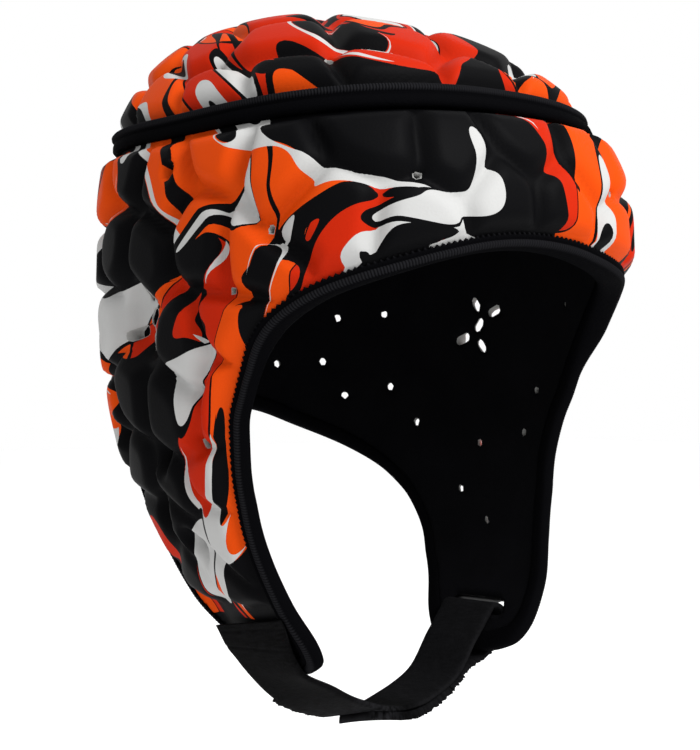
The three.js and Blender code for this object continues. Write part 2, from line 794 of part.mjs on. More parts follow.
// Chin strap: middle line in the plane across the head, in order from the sewn base.
function strapLine() {
  const onFlap = (side, z, depth) => {
    const point = wallPoint(side * flapAngle(z), z, depth);
    return new THREE.Vector3(point.x, 0, point.z);
  };
  const base = STRAP_BASE.map((z) => onFlap(-1, z, STRAP_OUTER_DEPTH));
  const loop = STRAP_LOOP.map(({ x, z }) => new THREE.Vector3(x, 0, z));
  const rise = STRAP_RISE.map((z) => onFlap(1, z, STRAP_INNER_DEPTH));
  const through = [
    onFlap(1, SLOT.z - STRAP_TURN.below, STRAP_INNER_DEPTH - STRAP_TURN.start),
    onFlap(1, SLOT.z, STRAP_INNER_DEPTH - STRAP_TURN.middle),
    onFlap(1, SLOT.z, STRAP_OUTER_DEPTH + STRAP_TURN.middle),
    onFlap(1, SLOT.z - STRAP_TURN.below, STRAP_OUTER_DEPTH + STRAP_TURN.start),
  ];
  const fall = STRAP_FALL.map((z) => onFlap(1, z, STRAP_OUTER_DEPTH));
  const tuck = new THREE.Vector3(STRAP_TUCK.x, 0, STRAP_TUCK.z);
  const fold = loop.map((point, index) => {
    const before = loop[Math.max(0, index - 1)];
    const after = loop[Math.min(loop.length - 1, index + 1)];
    const along = after.clone().sub(before).normalize();
    const away = new THREE.Vector3(along.z, 0, -along.x);
    return point.clone().addScaledVector(away, STRAP_THICKNESS + STRAP_FOLD_GAP);
  }).reverse();
  return base.concat(loop, rise, through, fall, tuck, fold.slice(0, STRAP_FOLD_POINTS));
}

function chinStrap() {
  const line = new THREE.CatmullRomCurve3(strapLine(), false, 'centripetal');
  line.arcLengthDivisions = ARC_DIVISIONS;
  const half = STRAP_THICKNESS / 2;
  const stations = Array.from({ length: STRAP_STATIONS + 1 }, (_, index) => {
    const share = index / STRAP_STATIONS;
    const point = line.getPointAt(share);
    const along = line.getTangentAt(share);
    const away = new THREE.Vector3(along.z, 0, -along.x).normalize();
    const width = mix(STRAP_BASE_WIDTH, STRAP_WIDTH, smooth(share / STRAP_BASE_SHARE));
    const offMiddle = Math.abs(point.x - STRAP_TILT_MIDDLE);
    const tilt = STRAP_TILT * smooth((STRAP_TILT_REACH - offMiddle) / STRAP_TILT_FADE);
    const corner = (side, out) => {
      const place = point.clone().addScaledVector(away, out * half);
      place.x -= ((STRAP_LEAN * point.x) / STRAP_LEAN_REACH) * ((side * width) / 2);
      place.y = STRAP_Y + (side * width) / 2;
      place.z -= (tilt * side * width) / 2;
      return place;
    };
    return [corner(-1, 1), corner(1, 1), corner(1, -1), corner(-1, -1)];
  });
  return openBand(stations);
}

// Named pieces with their materials.
const PIECES = [
  { name: 'crown_panel', colour: 0xe8481c, roughness: 0.7, solid: paddedPanel(crownPlan) },
  { name: 'side_panel', colour: 0xe8481c, roughness: 0.7, solid: pierce(paddedPanel(sidePlan), sideCuts) },
  { name: 'crown_lining', colour: 0x141416, roughness: 0.9, solid: liningSheet(crownPlan) },
  { name: 'side_lining', colour: 0x141416, roughness: 0.9, solid: pierce(liningSheet(sidePlan), sideCuts) },
  { name: 'crown_seam_tape', colour: 0x1c1c1e, roughness: 0.85, solid: seamTape() },
  { name: 'edge_binding', colour: 0x1a1a1c, roughness: 0.85, solid: edgeBinding() },
  { name: 'chin_strap', colour: 0x18181a, roughness: 0.8, solid: chinStrap() },
];

const headGuard = new THREE.Group();
headGuard.name = 'head_guard';
PIECES.forEach(({ name, colour, roughness, solid }) => {
  const { vertProperties, triVerts } = solid.getMesh();
  const geometry = new THREE.BufferGeometry();
  geometry.setAttribute('position', new THREE.Float32BufferAttribute(vertProperties, 3));
  geometry.setIndex(new THREE.Uint32BufferAttribute(triVerts, 1));
  geometry.computeVertexNormals();
  const material = new THREE.MeshStandardMaterial({ color: colour, roughness, metalness: 0 });
  const mesh = new THREE.Mesh(geometry, material);
  mesh.name = name;
  headGuard.add(mesh);
});

export default headGuard;
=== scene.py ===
# %% [markdown]
# # A padded head guard
# A soft head guard for contact sport: a padded crown, a padded band with two ear flaps, tapes over
# the seam and the edges, and a chin strap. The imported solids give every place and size. This script
# dresses them: it wraps flat sewing patterns round the head form, swells the pads, and gives each
# cloth its own finish. Shapes are worked out in millimetres, and Blender gets them in metres.

import math

import bpy
import numpy as np
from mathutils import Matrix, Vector
from mathutils.kdtree import KDTree


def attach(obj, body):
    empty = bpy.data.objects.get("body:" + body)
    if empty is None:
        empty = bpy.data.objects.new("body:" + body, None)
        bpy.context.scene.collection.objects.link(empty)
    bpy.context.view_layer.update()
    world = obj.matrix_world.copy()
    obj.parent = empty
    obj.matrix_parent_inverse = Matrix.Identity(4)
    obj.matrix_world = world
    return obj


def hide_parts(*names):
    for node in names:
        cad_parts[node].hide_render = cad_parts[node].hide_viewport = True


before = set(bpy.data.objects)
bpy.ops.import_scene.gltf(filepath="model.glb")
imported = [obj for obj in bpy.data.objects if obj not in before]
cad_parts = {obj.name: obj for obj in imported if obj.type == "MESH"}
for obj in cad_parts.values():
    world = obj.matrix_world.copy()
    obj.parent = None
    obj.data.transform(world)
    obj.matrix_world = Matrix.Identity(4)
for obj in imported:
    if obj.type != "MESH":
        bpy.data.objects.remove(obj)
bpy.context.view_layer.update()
MM = 0.001
print("solids:", sorted(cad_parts))

# %% [markdown]
# ## Camera
# The picture was taken level with the ears, from the front and the wearer's right, through a long
# lens. A nearer camera with a wider lens would make the near flap too large, so this one stands at
# the angle and distance at which the two flaps overlap as in the picture.

# %% Camera
# Places of the camera and the lamps are in metres, and turns in degrees.
AIM = Vector((0.0, 0.0, -0.132))
VIEW_AZIMUTH, VIEW_ELEVATION, VIEW_DISTANCE = -38.7, -0.2, 0.725
SENSOR = 36.0
# The lens and the picture's taller side, both in pixels.
FOCAL_PIXELS, PICTURE_PIXELS = 1776.0, 750.0
NEAR_CLIP = 0.01


def direction(azimuth, elevation):
    """The way from the aim out to a camera or lamp. Azimuth 0 is straight ahead of the face."""
    turn, rise = math.radians(azimuth), math.radians(elevation)
    level = math.cos(rise)
    return Vector((math.sin(turn) * level, -math.cos(turn) * level, math.sin(rise)))


back = direction(VIEW_AZIMUTH, VIEW_ELEVATION)
bpy.ops.object.camera_add(location=AIM + back * VIEW_DISTANCE)
camera = bpy.context.object
camera.rotation_euler = back.to_track_quat("Z", "Y").to_euler()
camera.data.sensor_width = SENSOR
camera.data.lens = SENSOR * FOCAL_PIXELS / PICTURE_PIXELS
camera.data.clip_start = NEAR_CLIP
bpy.context.scene.camera = camera
print("lens in mm:", round(camera.data.lens, 1))

# %% [markdown]
# ## Head form
# All soft pieces lie on one form: a dome over a skirt that narrows towards the chin. It could be
# sculpted, but a formula lets every flat pattern be wrapped onto it exactly. Each level section is a
# rounded oval, squarer at the front than at the back. A depth is measured inward from the tops of
# the pads, square to the form.

# %% Skirt of the head form
# Height, half width, and how far back the section's middle lies.
SKIRT = [
    (-76.6, 97, 0), (-112, 98, -1), (-142, 95.5, -4), (-162, 91.5, -7), (-182, 88, -12),
    (-202, 83, -20), (-222, 75.5, -30), (-237, 66, -35), (-254, 53, -38), (-266, 42, -39),
]


def curve_through(points, per_span):
    """A smooth curve through the points, with even steps in each span."""
    p = np.array(points, float)
    p = np.vstack([2 * p[0] - p[1], p, 2 * p[-1] - p[-2]])
    t = np.linspace(0, 1, per_span, endpoint=False)[:, None]
    spans = []
    for a, b, c, d in zip(p, p[1:], p[2:], p[3:]):
        before, here, after = (np.linalg.norm(q - r) ** 0.5 for q, r in ((b, a), (c, b), (d, c)))
        start = ((b - a) / before - (c - a) / (before + here) + (c - b) / here) * here
        end = ((c - b) / here - (d - b) / (here + after) + (d - c) / after) * here
        spans.append(b + start * t + (3 * (c - b) - 2 * start - end) * t**2
                     + (2 * (b - c) + start + end) * t**3)
    return np.vstack(spans + [p[-2:-1]])


skirt_line = curve_through(SKIRT, per_span=20)


def skirt(z):
    """Half width of the skirt at a height, and how far back its middle lies."""
    heights = -skirt_line[:, 0]
    return np.interp(-z, heights, skirt_line[:, 1]), np.interp(-z, heights, skirt_line[:, 2])


print("widest at the ears, mm:", round(2 * float(np.max(skirt_line[:, 1])), 1))

# %% Points on the head form
# The widest section's half width, reach and squareness, the heights of the top and of that section,
# and how far back the top lies.
HALF_WIDTH = 97.0
FRONT_REACH, BACK_REACH = 110.4, 103.0
FRONT_SQUARENESS, BACK_SQUARENESS = 2.66, 2.2
CROWN_Z, EQUATOR_Z = 16.4, -76.6
CROWN_SHIFT = 31.0
DOME_POWER = 2.15
NORMAL_STEP = 0.5


def section_reach(x, y, half_width):
    """How far out a point lies in its level section. It is 1 on the section's outline."""
    ahead = y < 0
    power = np.where(ahead, FRONT_SQUARENESS, BACK_SQUARENESS)
    length = np.where(ahead, FRONT_REACH, BACK_REACH)
    return (np.abs(x / half_width) ** power + np.abs(y / length) ** power) ** (1 / power)


def form_point(angle, z):
    """The point of the form at an angle from the front and a height."""
    height = np.clip((z - EQUATOR_Z) / (CROWN_Z - EQUATOR_Z), 0, 1)
    half_width, middle = skirt(z)
    middle = np.where(z > EQUATOR_Z, CROWN_SHIFT * height**2, middle)
    share = (1 - height**DOME_POWER) ** (1 / DOME_POWER)
    x, y = np.sin(np.radians(angle)), -np.cos(np.radians(angle))
    reach = share / section_reach(x, y, half_width)
    return np.stack([x * reach, middle + y * reach, z], -1)


def form_level(x, y, z, on_dome):
    """A number that grows outward through the form, so that its slopes give the form's normal."""
    height = (z - EQUATOR_Z) / (CROWN_Z - EQUATOR_Z)
    half_width, middle = skirt(z)
    middle = np.where(on_dome, CROWN_SHIFT * height**2, middle)
    reach = section_reach(x, y - middle, np.where(on_dome, HALF_WIDTH, half_width))
    return np.where(on_dome, reach**DOME_POWER + np.maximum(0, height) ** DOME_POWER, reach)


def wall_point(angle, z, depth):
    """The point that lies inward of the form by a depth, square to it."""
    angle, z, depth = np.broadcast_arrays(
        np.asarray(angle, float), np.asarray(z, float), np.asarray(depth, float))
    point = form_point(angle, z)
    on_dome = z > EQUATOR_Z
    slopes = []
    for axis in np.eye(3) * NORMAL_STEP:
        ahead, behind = (point + axis).T, (point - axis).T
        slopes.append(form_level(*ahead, on_dome.T) - form_level(*behind, on_dome.T))
    normal = np.stack([slope.T for slope in slopes], -1)
    normal /= np.linalg.norm(normal, axis=-1, keepdims=True)
    return point - normal * depth[..., None]


print("front of the brow, mm:", np.round(wall_point(0, EQUATOR_Z, 0), 1))

# %% [markdown]
# ## Flat patterns
# The real panels are cut flat from foam and cloth and then sewn. Outlines, vents and pads are placed
# on the same flat patterns here, because distances are true there. The side panel is laid out as
# millimetres round the head and height, and narrows with the flaps. The crown is laid out round its
# top.

# %% Side and crown patterns
# Millimetres round the head for each degree. Below the taper's height the pattern narrows towards the
# flap's middle angle.
PATTERN_SCALE = 1.8
HALF_GIRTH = 180 * PATTERN_SCALE
FLAP_ANGLE = 100.0
FLAP_TAPER_Z = -177.0
CROWN_SCALE = 97.0


def pattern_scale(z):
    return PATTERN_SCALE * skirt(np.minimum(z, FLAP_TAPER_Z))[0] / skirt(np.array(FLAP_TAPER_Z))[0]


def side_pattern(angle, z):
    """Place in the side panel's pattern of an angle and a height."""
    angle, z = np.asarray(angle, float), np.asarray(z, float)
    around = FLAP_ANGLE * PATTERN_SCALE + (np.abs(angle) - FLAP_ANGLE) * pattern_scale(z)
    return np.stack([np.where(angle < 0, -around, around) * (angle != 0), z], -1)


def side_wall(flat, depth):
    """Wraps the side panel's pattern onto the form."""
    x, z = flat[..., 0], flat[..., 1]
    angle = FLAP_ANGLE + (np.abs(x) - FLAP_ANGLE * PATTERN_SCALE) / pattern_scale(z)
    return wall_point(np.where(x < 0, -angle, angle), z, depth)


def crown_pattern(angle, reach):
    """Place in the crown's pattern of an angle and a distance from the top."""
    angle = np.radians(np.asarray(angle, float))
    return np.stack([np.sin(angle) * reach, -np.cos(angle) * reach], -1)


def crown_wall(flat, depth):
    """Wraps the crown's pattern onto the form."""
    reach = np.linalg.norm(flat, axis=-1)
    height = np.cos(reach / CROWN_SCALE) ** (2 / DOME_POWER)
    z = EQUATOR_Z + (CROWN_Z - EQUATOR_Z) * height
    return wall_point(np.degrees(np.arctan2(flat[..., 0], -flat[..., 1])), z, depth)


def dome_reach(z):
    """Distance from the top in the crown's pattern, at a height."""
    height = (z - EQUATOR_Z) / (CROWN_Z - EQUATOR_Z)
    return CROWN_SCALE * np.arccos(height ** (DOME_POWER / 2))


print("side panel round the head, mm:", 2 * HALF_GIRTH)

# %% Rim
# The outer edge of the binding on one side: angle from the front, and height.
RIM = [
    (0, -87), (10, -88.3), (20.5, -92.3), (29.5, -96.8), (37, -100.8), (43.5, -105), (49, -110),
    (53.6, -115.6), (57, -121.3), (60, -127.6), (63, -135.6), (65.3, -143), (67.8, -151),
    (69.4, -159), (71.2, -169), (72.5, -181), (74.3, -193), (76.9, -213), (78.6, -226),
    (79.2, -240), (82.2, -246.8), (88, -250), (96, -252), (114, -252.5), (123.5, -250), (127, -243),
    (127.8, -234), (126.8, -217), (125.7, -204), (128.1, -190), (131.4, -182.5), (136.4, -174.8),
    (145, -166.5), (159, -156.4), (169, -149.8), (180, -146.5),
]
RIM_STEP = 0.5
BINDING_WIDTH = 4.4
# The soft brow sits a little higher on the wearer's left: how much, at which angle, and how wide.
LEFT_BROW_RISE, LEFT_BROW_ANGLE, LEFT_BROW_SPREAD = 4.5, 44.0, 16.0


def spaced(line, step):
    """The same line with equal steps."""
    lengths = np.concatenate([[0], np.cumsum(np.linalg.norm(np.diff(line, axis=0), axis=1))])
    count = max(2, round(lengths[-1] / step))
    places = np.linspace(0, lengths[-1], count + 1)
    return np.stack([np.interp(places, lengths, column) for column in line.T], 1)


def square_to(line):
    """Unit steps square to a flat line, to the right of its way."""
    along = np.gradient(line, axis=0)
    along /= np.linalg.norm(along, axis=1, keepdims=True)
    return np.stack([along[:, 1], -along[:, 0]], 1)


rim_angle, rim_z = np.array(RIM, float).T
left_z = rim_z + LEFT_BROW_RISE * np.exp(-((rim_angle - LEFT_BROW_ANGLE) / LEFT_BROW_SPREAD) ** 2)
rim_right = side_pattern(-rim_angle[:0:-1], rim_z[:0:-1])
rim_left = side_pattern(rim_angle, left_z)
# Both ends meet at the middle of the nape.
rim_right[0, 0], rim_left[-1, 0] = -HALF_GIRTH, HALF_GIRTH
rim_line = spaced(curve_through(np.vstack([rim_right, rim_left]), per_span=60), RIM_STEP)
panel_edge = rim_line - square_to(rim_line) * BINDING_WIDTH
print("rim length in the pattern, mm:", round(RIM_STEP * (len(rim_line) - 1)))

# %% Crown seam
# The seam rises towards the front, and each panel stops a little short of it.
SEAM_Z, SEAM_FRONT_RISE, SEAM_GAP = -37.5, 8.5, 0.4
SEAM_POINTS = 721


def seam_z(angle):
    return SEAM_Z + SEAM_FRONT_RISE * np.maximum(0, np.cos(np.radians(angle))) ** 2


seam_angles = np.linspace(-180, 180, SEAM_POINTS)
side_seam = side_pattern(seam_angles, seam_z(seam_angles) - SEAM_GAP)
side_seam[:, 0] = seam_angles * PATTERN_SCALE
crown_seam = crown_pattern(seam_angles, dome_reach(seam_z(seam_angles) + SEAM_GAP))
print("crown pattern, mm:", np.round(np.ptp(crown_seam, axis=0)))

# %% [markdown]
# ## Pads, vents and slots
# The foam is moulded as separate pads with grooves between them. Drawing the outline of every pad
# would take long lists, so each pad is a point in a short table, and a groove runs halfway between
# two neighbours. Round vents lie where grooves meet, five slots lie over each ear, and the left flap
# has a slot for the strap.

# %% Pads
# Height, zigzag, extra height at the front, how far the pads stand out, and angles on one side.
SIDE_PADS = [
    (-55, 5, 6, 1.5, (0, 18, 34, 52, 68, 85, 103, 120, 137, 154, 171)),
    (-86, 3, 15, 1, (9, 26, 42, 56, 73, 92, 110, 127, 144, 161, 180)),
    (-116, 4, 0, 0.5, (66, 80, 117, 131, 147, 164)),
    (-144, 4, 0, 0, (74, 90, 106, 122, 140, 157, 176)),
    (-172, 5, 0, -1.5, (81, 97, 114)),
    (-193, -3, 0, -3, (85, 101, 117)),
    (-211, 0, 0, -4, (93, 113)),
]
# The welded edge, the recess over the ear, and the flat tabs at the flaps' ends, as deep as the edge.
EDGE_DEPTH = 9.0
EAR_ANGLE, EAR_Z, EAR_DEPTH = 99.0, -110.0, 12.4
TAB_Z, TAB_ANGLES = -235.0, (88, 104, 121)
# Distance from the top, number of pads, turn, and how far they stand out.
CROWN_PADS = [(0, 1, 0, -0.6), (36, 6, 0, -0.2), (67, 11, 16, 0.4), (96, 15, 0, 0)]
CROWN_FRONT_PROUD = 2.0


def both_sides(rows):
    """The rows, and their mirror images where they don't lie in the middle."""
    return [*rows, *((-row[0], *row[1:]) for row in rows if row[0] not in (0, 180))]


side_pads = []
for row_z, zigzag, front_lift, proud, angles in SIDE_PADS:
    for index, angle in enumerate(angles):
        ahead = max(0.0, math.cos(math.radians(angle))) ** 2
        sway = zigzag if index % 2 == 0 else -zigzag
        side_pads.append((angle, row_z + sway + front_lift * ahead, -proud))
side_pads.append((EAR_ANGLE, EAR_Z, EAR_DEPTH))
side_pads.extend((angle, TAB_Z, EDGE_DEPTH) for angle in TAB_ANGLES)
side_pads = np.array(both_sides(side_pads), float)

crown_pads = []
for reach, count, turn, proud in CROWN_PADS:
    for index in range(count):
        angle = turn + 360 * index / count
        ahead = max(0.0, math.cos(math.radians(angle))) * min(1.0, reach / CROWN_SCALE)
        crown_pads.append((angle, reach, -proud - CROWN_FRONT_PROUD * ahead))
crown_pads = np.array(crown_pads, float)
print("pads on the sides and the crown:", len(side_pads), len(crown_pads))

# %% Vents and slots
# Angle, height, and depth of the pit. On the crown, distance from the top stands for height.
SIDE_VENTS = [
    (65, -102, 7), (77, -140, 9), (81, -159, 9), (99, -164, 12.5), (108, -185, 12.5),
    (99, -198, 12.5), (122, -156, 12.5), (130, -139, 12.5), (144, -143, 12.5), (150, -127, 12.5),
    (164, -128, 12.5), (145, -106, 12.5), (131, -104, 12.5), (82, -57, 6), (55, -81, 6),
    (26, -62, 4.5),
]
CROWN_VENTS = [(38, 82, 5.5), (72, 82, 5.5), (128, 82, 6)]
# Vents in shallow pits are the small ones.
VENT_RADIUS, SMALL_VENT_RADIUS, SMALL_VENT_PIT = 1.9, 1.4, 8.0
# Along, up, turn and length.
EAR_SLOTS = [(0, 0, -49, 8), (1.5, 9.8, 52, 7.5), (-11, 6.5, -20, 9.5), (11, -6.5, -20, 9.5),
             (-1.5, -9.8, 52, 7.5)]
EAR_SLOT_WIDTH = 4.4
# The strap's slot, and how far back the strap's middle line lies.
SLOT_Z, SLOT_LENGTH, SLOT_WIDTH, SLOT_PIT = -236.0, 35.0, 6.5, 12.4
STRAP_Y = -17.0
OUTLINE_POINTS = 48


def flap_angle(z):
    """Angle at which the strap's middle line meets the left flap, at a height."""
    half_width, middle = skirt(np.asarray(z, float))
    along = STRAP_Y - middle
    x = half_width * (1 - (np.abs(along) / BACK_REACH) ** BACK_SQUARENESS) ** (1 / BACK_SQUARENESS)
    return np.degrees(np.arctan2(x, -along))


def capsule(middle, turn, length, width):
    """Outline of a rounded slot in the flat pattern."""
    turns = np.linspace(0, 2 * math.pi, OUTLINE_POINTS, endpoint=False)
    out = np.stack([np.cos(turns), np.sin(turns)], 1) * width / 2
    out[:, 0] += np.where(out[:, 0] > 0, 1, -1) * (length - width) / 2
    c, s = math.cos(math.radians(turn)), math.sin(math.radians(turn))
    return middle + out @ np.array([[c, s], [-s, c]])


vent_angle, vent_z, side_pits = np.array(both_sides(SIDE_VENTS), float).T
side_vents = side_pattern(vent_angle, vent_z)
vent_width = 2 * np.where(side_pits < SMALL_VENT_PIT, SMALL_VENT_RADIUS, VENT_RADIUS)
side_holes = [capsule(spot, 0, width, width) for spot, width in zip(side_vents, vent_width)]
vent_angle, vent_reach, crown_pits = np.array(both_sides(CROWN_VENTS), float).T
crown_vents = crown_pattern(vent_angle, vent_reach)
small_width = 2 * SMALL_VENT_RADIUS
crown_holes = [capsule(spot, 0, small_width, small_width) for spot in crown_vents]
for side in (1, -1):
    ear = side_pattern(side * EAR_ANGLE, EAR_Z)
    for along, up, turn, length in EAR_SLOTS:
        side_holes.append(capsule(ear + (side * along, up), side * turn, length, EAR_SLOT_WIDTH))
slot_middle = side_pattern(flap_angle(SLOT_Z), SLOT_Z)
side_holes.append(capsule(slot_middle, 0, SLOT_LENGTH, SLOT_WIDTH))
slot_end = slot_middle - (SLOT_LENGTH / 2 - SLOT_WIDTH / 2, 0)
print("openings on the sides and the crown:", len(side_holes), len(crown_holes))

# %% [markdown]
# ## Relief of the pads
# Close to a groove the cover dives into a soft valley. Towards the middle of a pad it flattens into
# a dome. Every vent sits in a pit where the foam is welded thin, and the ear vent in a wide recess.
# The pads could be sculpted, but a depth worked out from distances stays even over all of them and
# is tuned by a few sizes.

# %% Lift of the panel's edge
# Over the brow and behind the ears the panel's edge stands out this far, but not at the flaps' lower
# ends. Each span goes from none to full: behind the ears it runs round the head, else in height.
BROW_LIFT, REAR_LIFT = 4.4, 2.6
LIFT_BROW, LIFT_BEHIND, LIFT_ENDS = (-134, -112), (196, 210), (-244, -220)


def ease(t):
    """Goes smoothly from 0 to 1."""
    t = np.clip(t, 0, 1)
    return t * t * (3 - 2 * t)


def fade(value, none, full):
    """0 at the first place, 1 at the second, and smooth between them."""
    return ease((value - none) / (full - none))


def edge_lift(flat):
    around, z = np.abs(flat[..., 0]), flat[..., 1]
    lift = np.maximum(BROW_LIFT * fade(z, *LIFT_BROW), REAR_LIFT * fade(around, *LIFT_BEHIND))
    return lift * fade(z, *LIFT_ENDS)


print("lift of the rim, mm:", edge_lift(rim_line).min(), "to", edge_lift(rim_line).max())

# %% Grooves between the pads
# How round the pads' corners are, how near a vent a groove is drawn to it, and at most how far.
CORNER_ROUND = 1.6
VENT_PULL = 9.0
PULL_LIMIT = 1.5 * VENT_PULL
TINY = 1e-6
# So many points are worked out at once, to save memory.
CHUNK = 4000


def vent_pulls(centres, vents):
    """How far the meeting point of three pads is drawn to each vent."""
    pulls = []
    for spot in vents:
        a, b, c = centres[np.argsort(np.linalg.norm(centres - spot, axis=1))[:3]]
        matrix = 2 * np.array([b - a, c - a])
        right_side = np.array([b @ b - a @ a, c @ c - a @ a])
        pull = spot - np.linalg.solve(matrix, right_side)
        pulls.append(pull if np.linalg.norm(pull) < PULL_LIMIT else (0, 0))
    return np.array(pulls)


def groove_distance(flat, centres):
    """Distance to the nearest groove, and the pad that each point belongs to."""
    distance, owner = np.empty(len(flat)), np.empty(len(flat), int)
    for start in range(0, len(flat), CHUNK):
        part = flat[start:start + CHUNK]
        square = ((part[:, None] - centres[None]) ** 2).sum(2)
        nearest = square.argmin(1)
        apart = np.linalg.norm(centres[None] - centres[nearest][:, None], axis=2)
        gap = (square - square.min(1)[:, None]) / (2 * np.maximum(apart, TINY))
        gap[np.arange(len(part)), nearest] = np.inf
        soft = -CORNER_ROUND * np.log(np.exp(-gap / CORNER_ROUND).sum(1))
        distance[start:start + CHUNK] = np.maximum(soft, 0)
        owner[start:start + CHUNK] = nearest
    return distance, owner


side_centres = side_pattern(side_pads[:, 0], side_pads[:, 1])
crown_centres = crown_pattern(crown_pads[:, 0], crown_pads[:, 1])
print("ear vent to its nearest groove, mm:",
      np.round(groove_distance(side_pattern([EAR_ANGLE], [EAR_Z]), side_centres)[0], 1))

# %% Depth of the cover
# Between the two angles the forehead's shallow grooves turn into the deeper ones of the sides.
GROOVE_DEPTH, FRONT_GROOVE_DEPTH, CROWN_GROOVE_DEPTH = 6.0, 2.8, 4.6
FRONT_ANGLES = (22.0, 62.0)
GROOVE_ROUND = 1.2
PAD_ROUND, PAD_POWER = 6.5, 2.1
# Along the binding and along the seam the cover lies flat for a little way, then rises to the pads.
EDGE_FLAT, EDGE_FADE = 2.0, 3.0
SEAM_FLANGE, SEAM_FADE, SEAM_DEPTH = 4.6, 2.0, 5.0
TAB_TOP_Z, TAB_BLEND = -214.0, 6.0
VENT_PIT_SLOPE = 0.72


def search_tree(line):
    """Finds the point of a flat line that lies nearest to a place."""
    tree = KDTree(len(line))
    for index, (x, y) in enumerate(line):
        tree.insert((x, y, 0), index)
    tree.balance()
    return tree


def distance_to(points, line):
    tree = search_tree(line)
    return np.array([tree.find((x, y, 0))[2] for x, y in points])


def relief(flat, pads, vents, pits, seam_line, rim=None, girth=0.0):
    """Depth of the cover under the tops of the pads."""
    centres, tops = pads
    shifts = (-girth, 0.0, girth) if girth else (0.0,)
    every = np.vstack([centres + (shift, 0) for shift in shifts])
    drawn = flat.copy()
    for spot, pull in zip(vents, vent_pulls(every, vents)):
        away = ((flat - spot) ** 2).sum(1) / (2 * VENT_PULL**2)
        drawn -= np.exp(-away)[:, None] * pull
    to_groove, owner = groove_distance(drawn, every)
    top = tops[owner % len(tops)]
    groove = np.full(len(flat), CROWN_GROOVE_DEPTH)
    if rim is not None:
        to_side = fade(np.abs(flat[:, 0]) / PATTERN_SCALE, *FRONT_ANGLES)
        groove = FRONT_GROOVE_DEPTH + (GROOVE_DEPTH - FRONT_GROOVE_DEPTH) * to_side
        groove += (EDGE_DEPTH - groove) * ease((TAB_TOP_Z - flat[:, 1]) / TAB_BLEND)
        to_rim = np.maximum(0, distance_to(flat, rim) - EDGE_FLAT)
        groove += (EDGE_DEPTH - edge_lift(flat) - groove) * np.exp(-to_rim / EDGE_FADE)
        to_groove = np.minimum(to_groove, to_rim)
    to_seam = np.maximum(0, distance_to(flat, seam_line) - SEAM_FLANGE)
    groove += (SEAM_DEPTH - groove) * np.exp(-to_seam / SEAM_FADE)
    to_groove = np.minimum(to_groove, to_seam)
    soft = np.hypot(to_groove, GROOVE_ROUND) - GROOVE_ROUND
    rise = 1 - (1 - np.clip(soft / PAD_ROUND, 0, 1)) ** PAD_POWER
    depth = groove + (top - groove) * rise
    for spot, pit in zip(vents, pits):
        near = 1 - np.linalg.norm(flat - spot, axis=1) / (VENT_PIT_SLOPE * pit)
        depth = np.maximum(depth, depth + (pit - depth) * ease(near))
    return depth


def side_relief(flat):
    return relief(flat, (side_centres, side_pads[:, 2]), np.vstack([side_vents, slot_end]),
                  [*side_pits, SLOT_PIT], side_seam, panel_edge, 2 * HALF_GIRTH)


def crown_relief(flat):
    return relief(flat, (crown_centres, crown_pads[:, 2]), crown_vents, crown_pits, crown_seam)


print("depth at the side vents, mm:", np.round(side_relief(side_vents)[:len(SIDE_VENTS)], 1))

# %% [markdown]
# ## From flat pattern to padded panel
# A panel starts as a grid of small squares, as a pattern is cut on a table. Cells outside the
# outline and inside the vents are deleted, the border is drawn onto the outline, the sheet is
# extruded for its inner face, and both faces are wrapped onto the head form. Blender's cloth
# would need a remesh that closes the vents and fills the grooves, so the pads are swelled by
# their relief instead.

# %% Sheets and edit mode
# Size of a cell, small enough to follow the grooves.
PANEL_STEP = 1.6


def coordinates(piece):
    points = np.empty(len(piece.data.vertices) * 3, np.float32)
    piece.data.vertices.foreach_get("co", points)
    return points.reshape(-1, 3).astype(float)


def face_middles(piece):
    middles = np.empty(len(piece.data.polygons) * 3, np.float32)
    piece.data.polygons.foreach_get("center", middles)
    return middles.reshape(-1, 3).astype(float)


def place(piece, points):
    piece.data.vertices.foreach_set("co", np.ascontiguousarray(points, np.float32).ravel())
    piece.data.update()


def new_grid(name, columns, rows):
    """A grid of cells, and each point's place on it, from 0 to 1 along columns and rows."""
    bpy.ops.object.select_all(action="DESELECT")
    bpy.ops.mesh.primitive_grid_add(x_subdivisions=columns, y_subdivisions=rows, size=2)
    piece = bpy.context.object
    piece.name = piece.data.name = name
    return piece, (coordinates(piece)[:, :2] + 1) / 2


def edit(piece):
    bpy.ops.object.select_all(action="DESELECT")
    bpy.context.view_layer.objects.active = piece
    piece.select_set(True)
    bpy.ops.object.mode_set(mode="EDIT")


def leave():
    bpy.ops.object.mode_set(mode="OBJECT")


def pick_faces(piece, chosen):
    """Selects only these faces, and stays in edit mode."""
    edit(piece)
    bpy.ops.mesh.select_mode(type="FACE")
    bpy.ops.mesh.select_all(action="DESELECT")
    leave()
    piece.data.polygons.foreach_set("select", np.ascontiguousarray(chosen, bool))
    edit(piece)


print("cells round the side panel:", math.ceil(2 * HALF_GIRTH / PANEL_STEP))

# %% Cutting the covers
# The border is drawn onto points of the outline that lie this far apart.
OUTLINE_STEP = 0.2
# The side panel's two ends lie this far round or further. They meet at the nape and stay straight.
END_X = HALF_GIRTH - 0.01


def inside(points, outline):
    """True where a point lies inside a closed outline."""
    crossings = np.zeros(len(points), int)
    x, y = points.T
    for (ax, ay), (bx, by) in zip(outline, np.roll(outline, -1, axis=0)):
        if ay != by:
            spans = (ay > y) != (by > y)
            crossings += spans & (x < ax + (y - ay) * (bx - ax) / (by - ay))
    return crossings % 2 == 1


